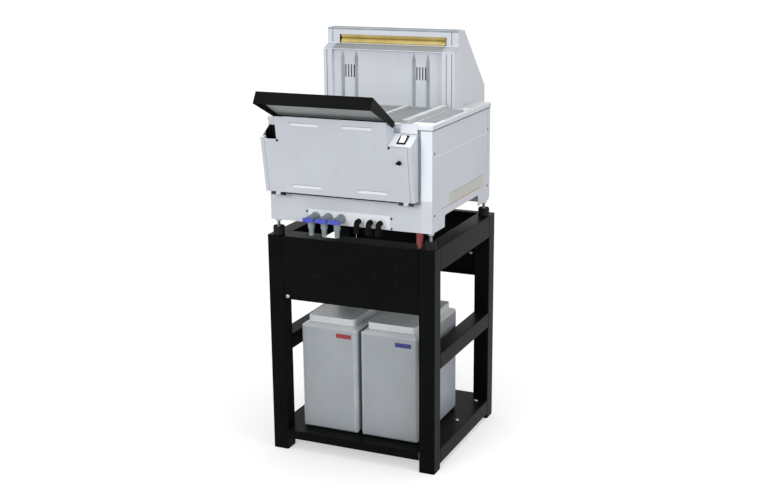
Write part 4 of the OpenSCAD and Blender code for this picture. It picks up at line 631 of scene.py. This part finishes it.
# Exit rollers: a soft sleeve with eased ends on a shaft
exitRoller = {"radius": 12, "y": 113, "left": -216, "right": 202, "z": {"Lower": 1485.95, "Upper": 1510.05},
              "shaftR": 4, "shaftOut": 15}
length = exitRoller["right"] - exitRoller["left"]
r, core, out = exitRoller["radius"], exitRoller["radius"] - 3, exitRoller["shaftOut"]
sleeve = [(core, 0), (r - 0.8, 0.4), (r, 1.5), (r, length - 1.5), (r - 0.8, length - 0.4), (core, length)]
shaft = [(0, -out), (3.2, -out), (exitRoller["shaftR"], 1 - out), (exitRoller["shaftR"], 0), (core, 0),
         (core, length), (exitRoller["shaftR"], length), (exitRoller["shaftR"], length + out - 1),
         (3.2, length + out), (0, length + out)]
for level, z in exitRoller["z"].items():
    start = (exitRoller["left"], exitRoller["y"], z)
    parts = [turnedPart(sleeve, start, (1, 0, 0), 48), turnedPart(shaft, start, (1, 0, 0), 48, 1)]
    node = "exit_roller_" + level.lower()
    build("exitRoller" + level, node, ["amberSilicone", "zincPlate"], parts, [node])

# Replenisher containers with their lids and bare labels
label = {"y": (-255.4, -254.9), "edge": 0.15,
         "left": ("redVinyl", (-85.5, -25), (447, 463.5)),
         "right": ("blueVinyl", (149.5, 211.7), (443, 459.5))}
shoulderZ = (477.3, 507)
for side in ("left", "right"):
    body = nodePart("jug_" + side, 2.2, 0, 3)
    # painted highlight on the shoulder and neck band
    tintRegion(body, 1, z=shoulderZ)
    for face in body.faces:
        corner = abs(face.normal.x) > 0.25 and abs(face.normal.y) > 0.25
        underCurve = -0.95 < face.normal.z < -0.2
        # painted highlight on rounded corners and lower curves
        if face.material_index == 0 and (corner or underCurve):
            face.material_index = 2
    build("container" + side.title(), "jug_" + side,
          ["naturalPolythene", "highlightPolythene", "cornerHighlightPolythene"], [body], ["jug_" + side])
    lid = nodePart("jug_lid_" + side, 1.8, 1, 3)
    for face in lid.faces:
        # lid tops painted as shade, lid skirts as highlight
        if face.normal.z > 0.9:
            face.material_index = 0
    build("containerLid" + side.title(), "jug_lid_" + side, ["shadedTopPolythene", "highlightPolythene"],
          [lid], ["jug_lid_" + side])
    tint, x, z = label[side]
    part = boxPart(x, label["y"], z, label["edge"])
    build("label" + side.title(), "jug_" + side, [tint], [part])
print("containers made")


def byRay(tree, seen, lit):
    # One value where the eye, a reflection or a clear body looks at it, the other where it lights things
    rays = addNode(tree, "LightPath").outputs
    looked = rays["Is Camera Ray"]
    for other in ("Is Glossy Ray", "Is Transmission Ray"):
        looked = addNode(tree, "Math", links={0: looked, 1: rays[other]}, operation="MAXIMUM").outputs[0]
    mixed = addNode(tree, "Mix", {firstValue: lit, secondValue: seen}, {0: looked}, data_type="FLOAT")
    return mixed.outputs[mixedValue]


studio = {"worldSeen": 1.0, "worldLight": 0.5, "floor": "#c4c4c4", "floorHalf": 60,
          "glowFrom": 1.5, "glowTo": 7.0, "glow": (0.5, 0.8)}
world = bpy.data.worlds.new("studio")
scene.world = world
world.use_nodes = True
background = world.node_tree.nodes["Background"]
background.inputs["Color"].default_value = (1, 1, 1, 1)
strength = byRay(world.node_tree, studio["worldSeen"], studio["worldLight"])
world.node_tree.links.new(strength, background.inputs["Strength"])

# Pale floor that keeps the shadow near the machine and pales to white a few metres away
floorMaterial = bpy.data.materials.new("paleFloor")
floorMaterial.use_nodes = True
tree = floorMaterial.node_tree
shader = tree.nodes["Principled BSDF"]
shader.inputs["Base Color"].default_value = linear(studio["floor"])
shader.inputs["Roughness"].default_value = 0.9
shader.inputs["Specular IOR Level"].default_value = 0.0
shader.inputs["Emission Color"].default_value = (1, 1, 1, 1)
spot = addNode(tree, "TexCoord").outputs["Object"]
away = addNode(tree, "VectorMath", links={0: spot}, operation="LENGTH").outputs["Value"]
lift = addNode(tree, "MapRange", {"From Min": studio["glowFrom"], "From Max": studio["glowTo"],
                                  "To Min": studio["glow"][0], "To Max": studio["glow"][1]}, {"Value": away})
glow = addNode(tree, "Math", links={0: lift.outputs[0], 1: byRay(tree, 1.0, 0.0)}, operation="MULTIPLY")
tree.links.new(glow.outputs[0], shader.inputs["Emission Strength"])
floorMesh = bpy.data.meshes.new("floor")
ground = bmesh.new()
bmesh.ops.create_grid(ground, x_segments=1, y_segments=1, size=studio["floorHalf"])
ground.to_mesh(floorMesh)
ground.free()
floorMesh.materials.append(floorMaterial)
floor = bpy.data.objects.new("floor", floorMesh)
scene.collection.objects.link(floor)

# Round soft lamps: place and diameter in metres, power in watts
lamps = {"key": ((-1.0, -4.6, 2.4), 2.2, 96),
         "fill": ((3.8, -1.6, 2.2), 2.0, 50),
         "top": ((0.2, 0.0, 4.2), 2.6, 88)}
lampTarget = Vector((0, 0, 0.8))
for name, (place, size, power) in lamps.items():
    lamp = bpy.data.lights.new(name, "AREA")
    lamp.shape = "DISK"
    lamp.size = size
    lamp.energy = power
    lampObject = bpy.data.objects.new(name, lamp)
    lampObject.location = place
    lampObject.rotation_euler = (lampTarget - Vector(place)).to_track_quat("-Z", "Y").to_euler()
    scene.collection.objects.link(lampObject)

# Camera, solved from the corners of the machine in the photograph: metres and degrees
shot = {"place": (1.85445, -4.1717 + depthShift / 1000, 1.94834),
        "yaw": 24.0106, "pitch": 15.026, "roll": -0.5207,
        "focalPixels": 1258.64, "imageWidth": 768, "sensor": 36, "farClip": 200}
yaw, pitch, roll = (math.radians(shot[k]) for k in ("yaw", "pitch", "roll"))
forward = Vector((-math.sin(yaw) * math.cos(pitch), math.cos(yaw) * math.cos(pitch), -math.sin(pitch)))
level = Vector((math.cos(yaw), math.sin(yaw), 0))
upward = level.cross(forward)
right = math.cos(roll) * level + math.sin(roll) * upward
upward = right.cross(forward)
camera = bpy.data.cameras.new("camera")
camera.sensor_width = shot["sensor"]
camera.lens = shot["focalPixels"] / shot["imageWidth"] * shot["sensor"]
camera.clip_end = shot["farClip"]
cameraObject = bpy.data.objects.new("camera", camera)
turn = Matrix((right, upward, -forward)).transposed().to_4x4()
cameraObject.matrix_world = Matrix.Translation(shot["place"]) @ turn
scene.collection.objects.link(cameraObject)
scene.camera = cameraObject
scene.view_settings.view_transform = "Standard"
print("studio made")
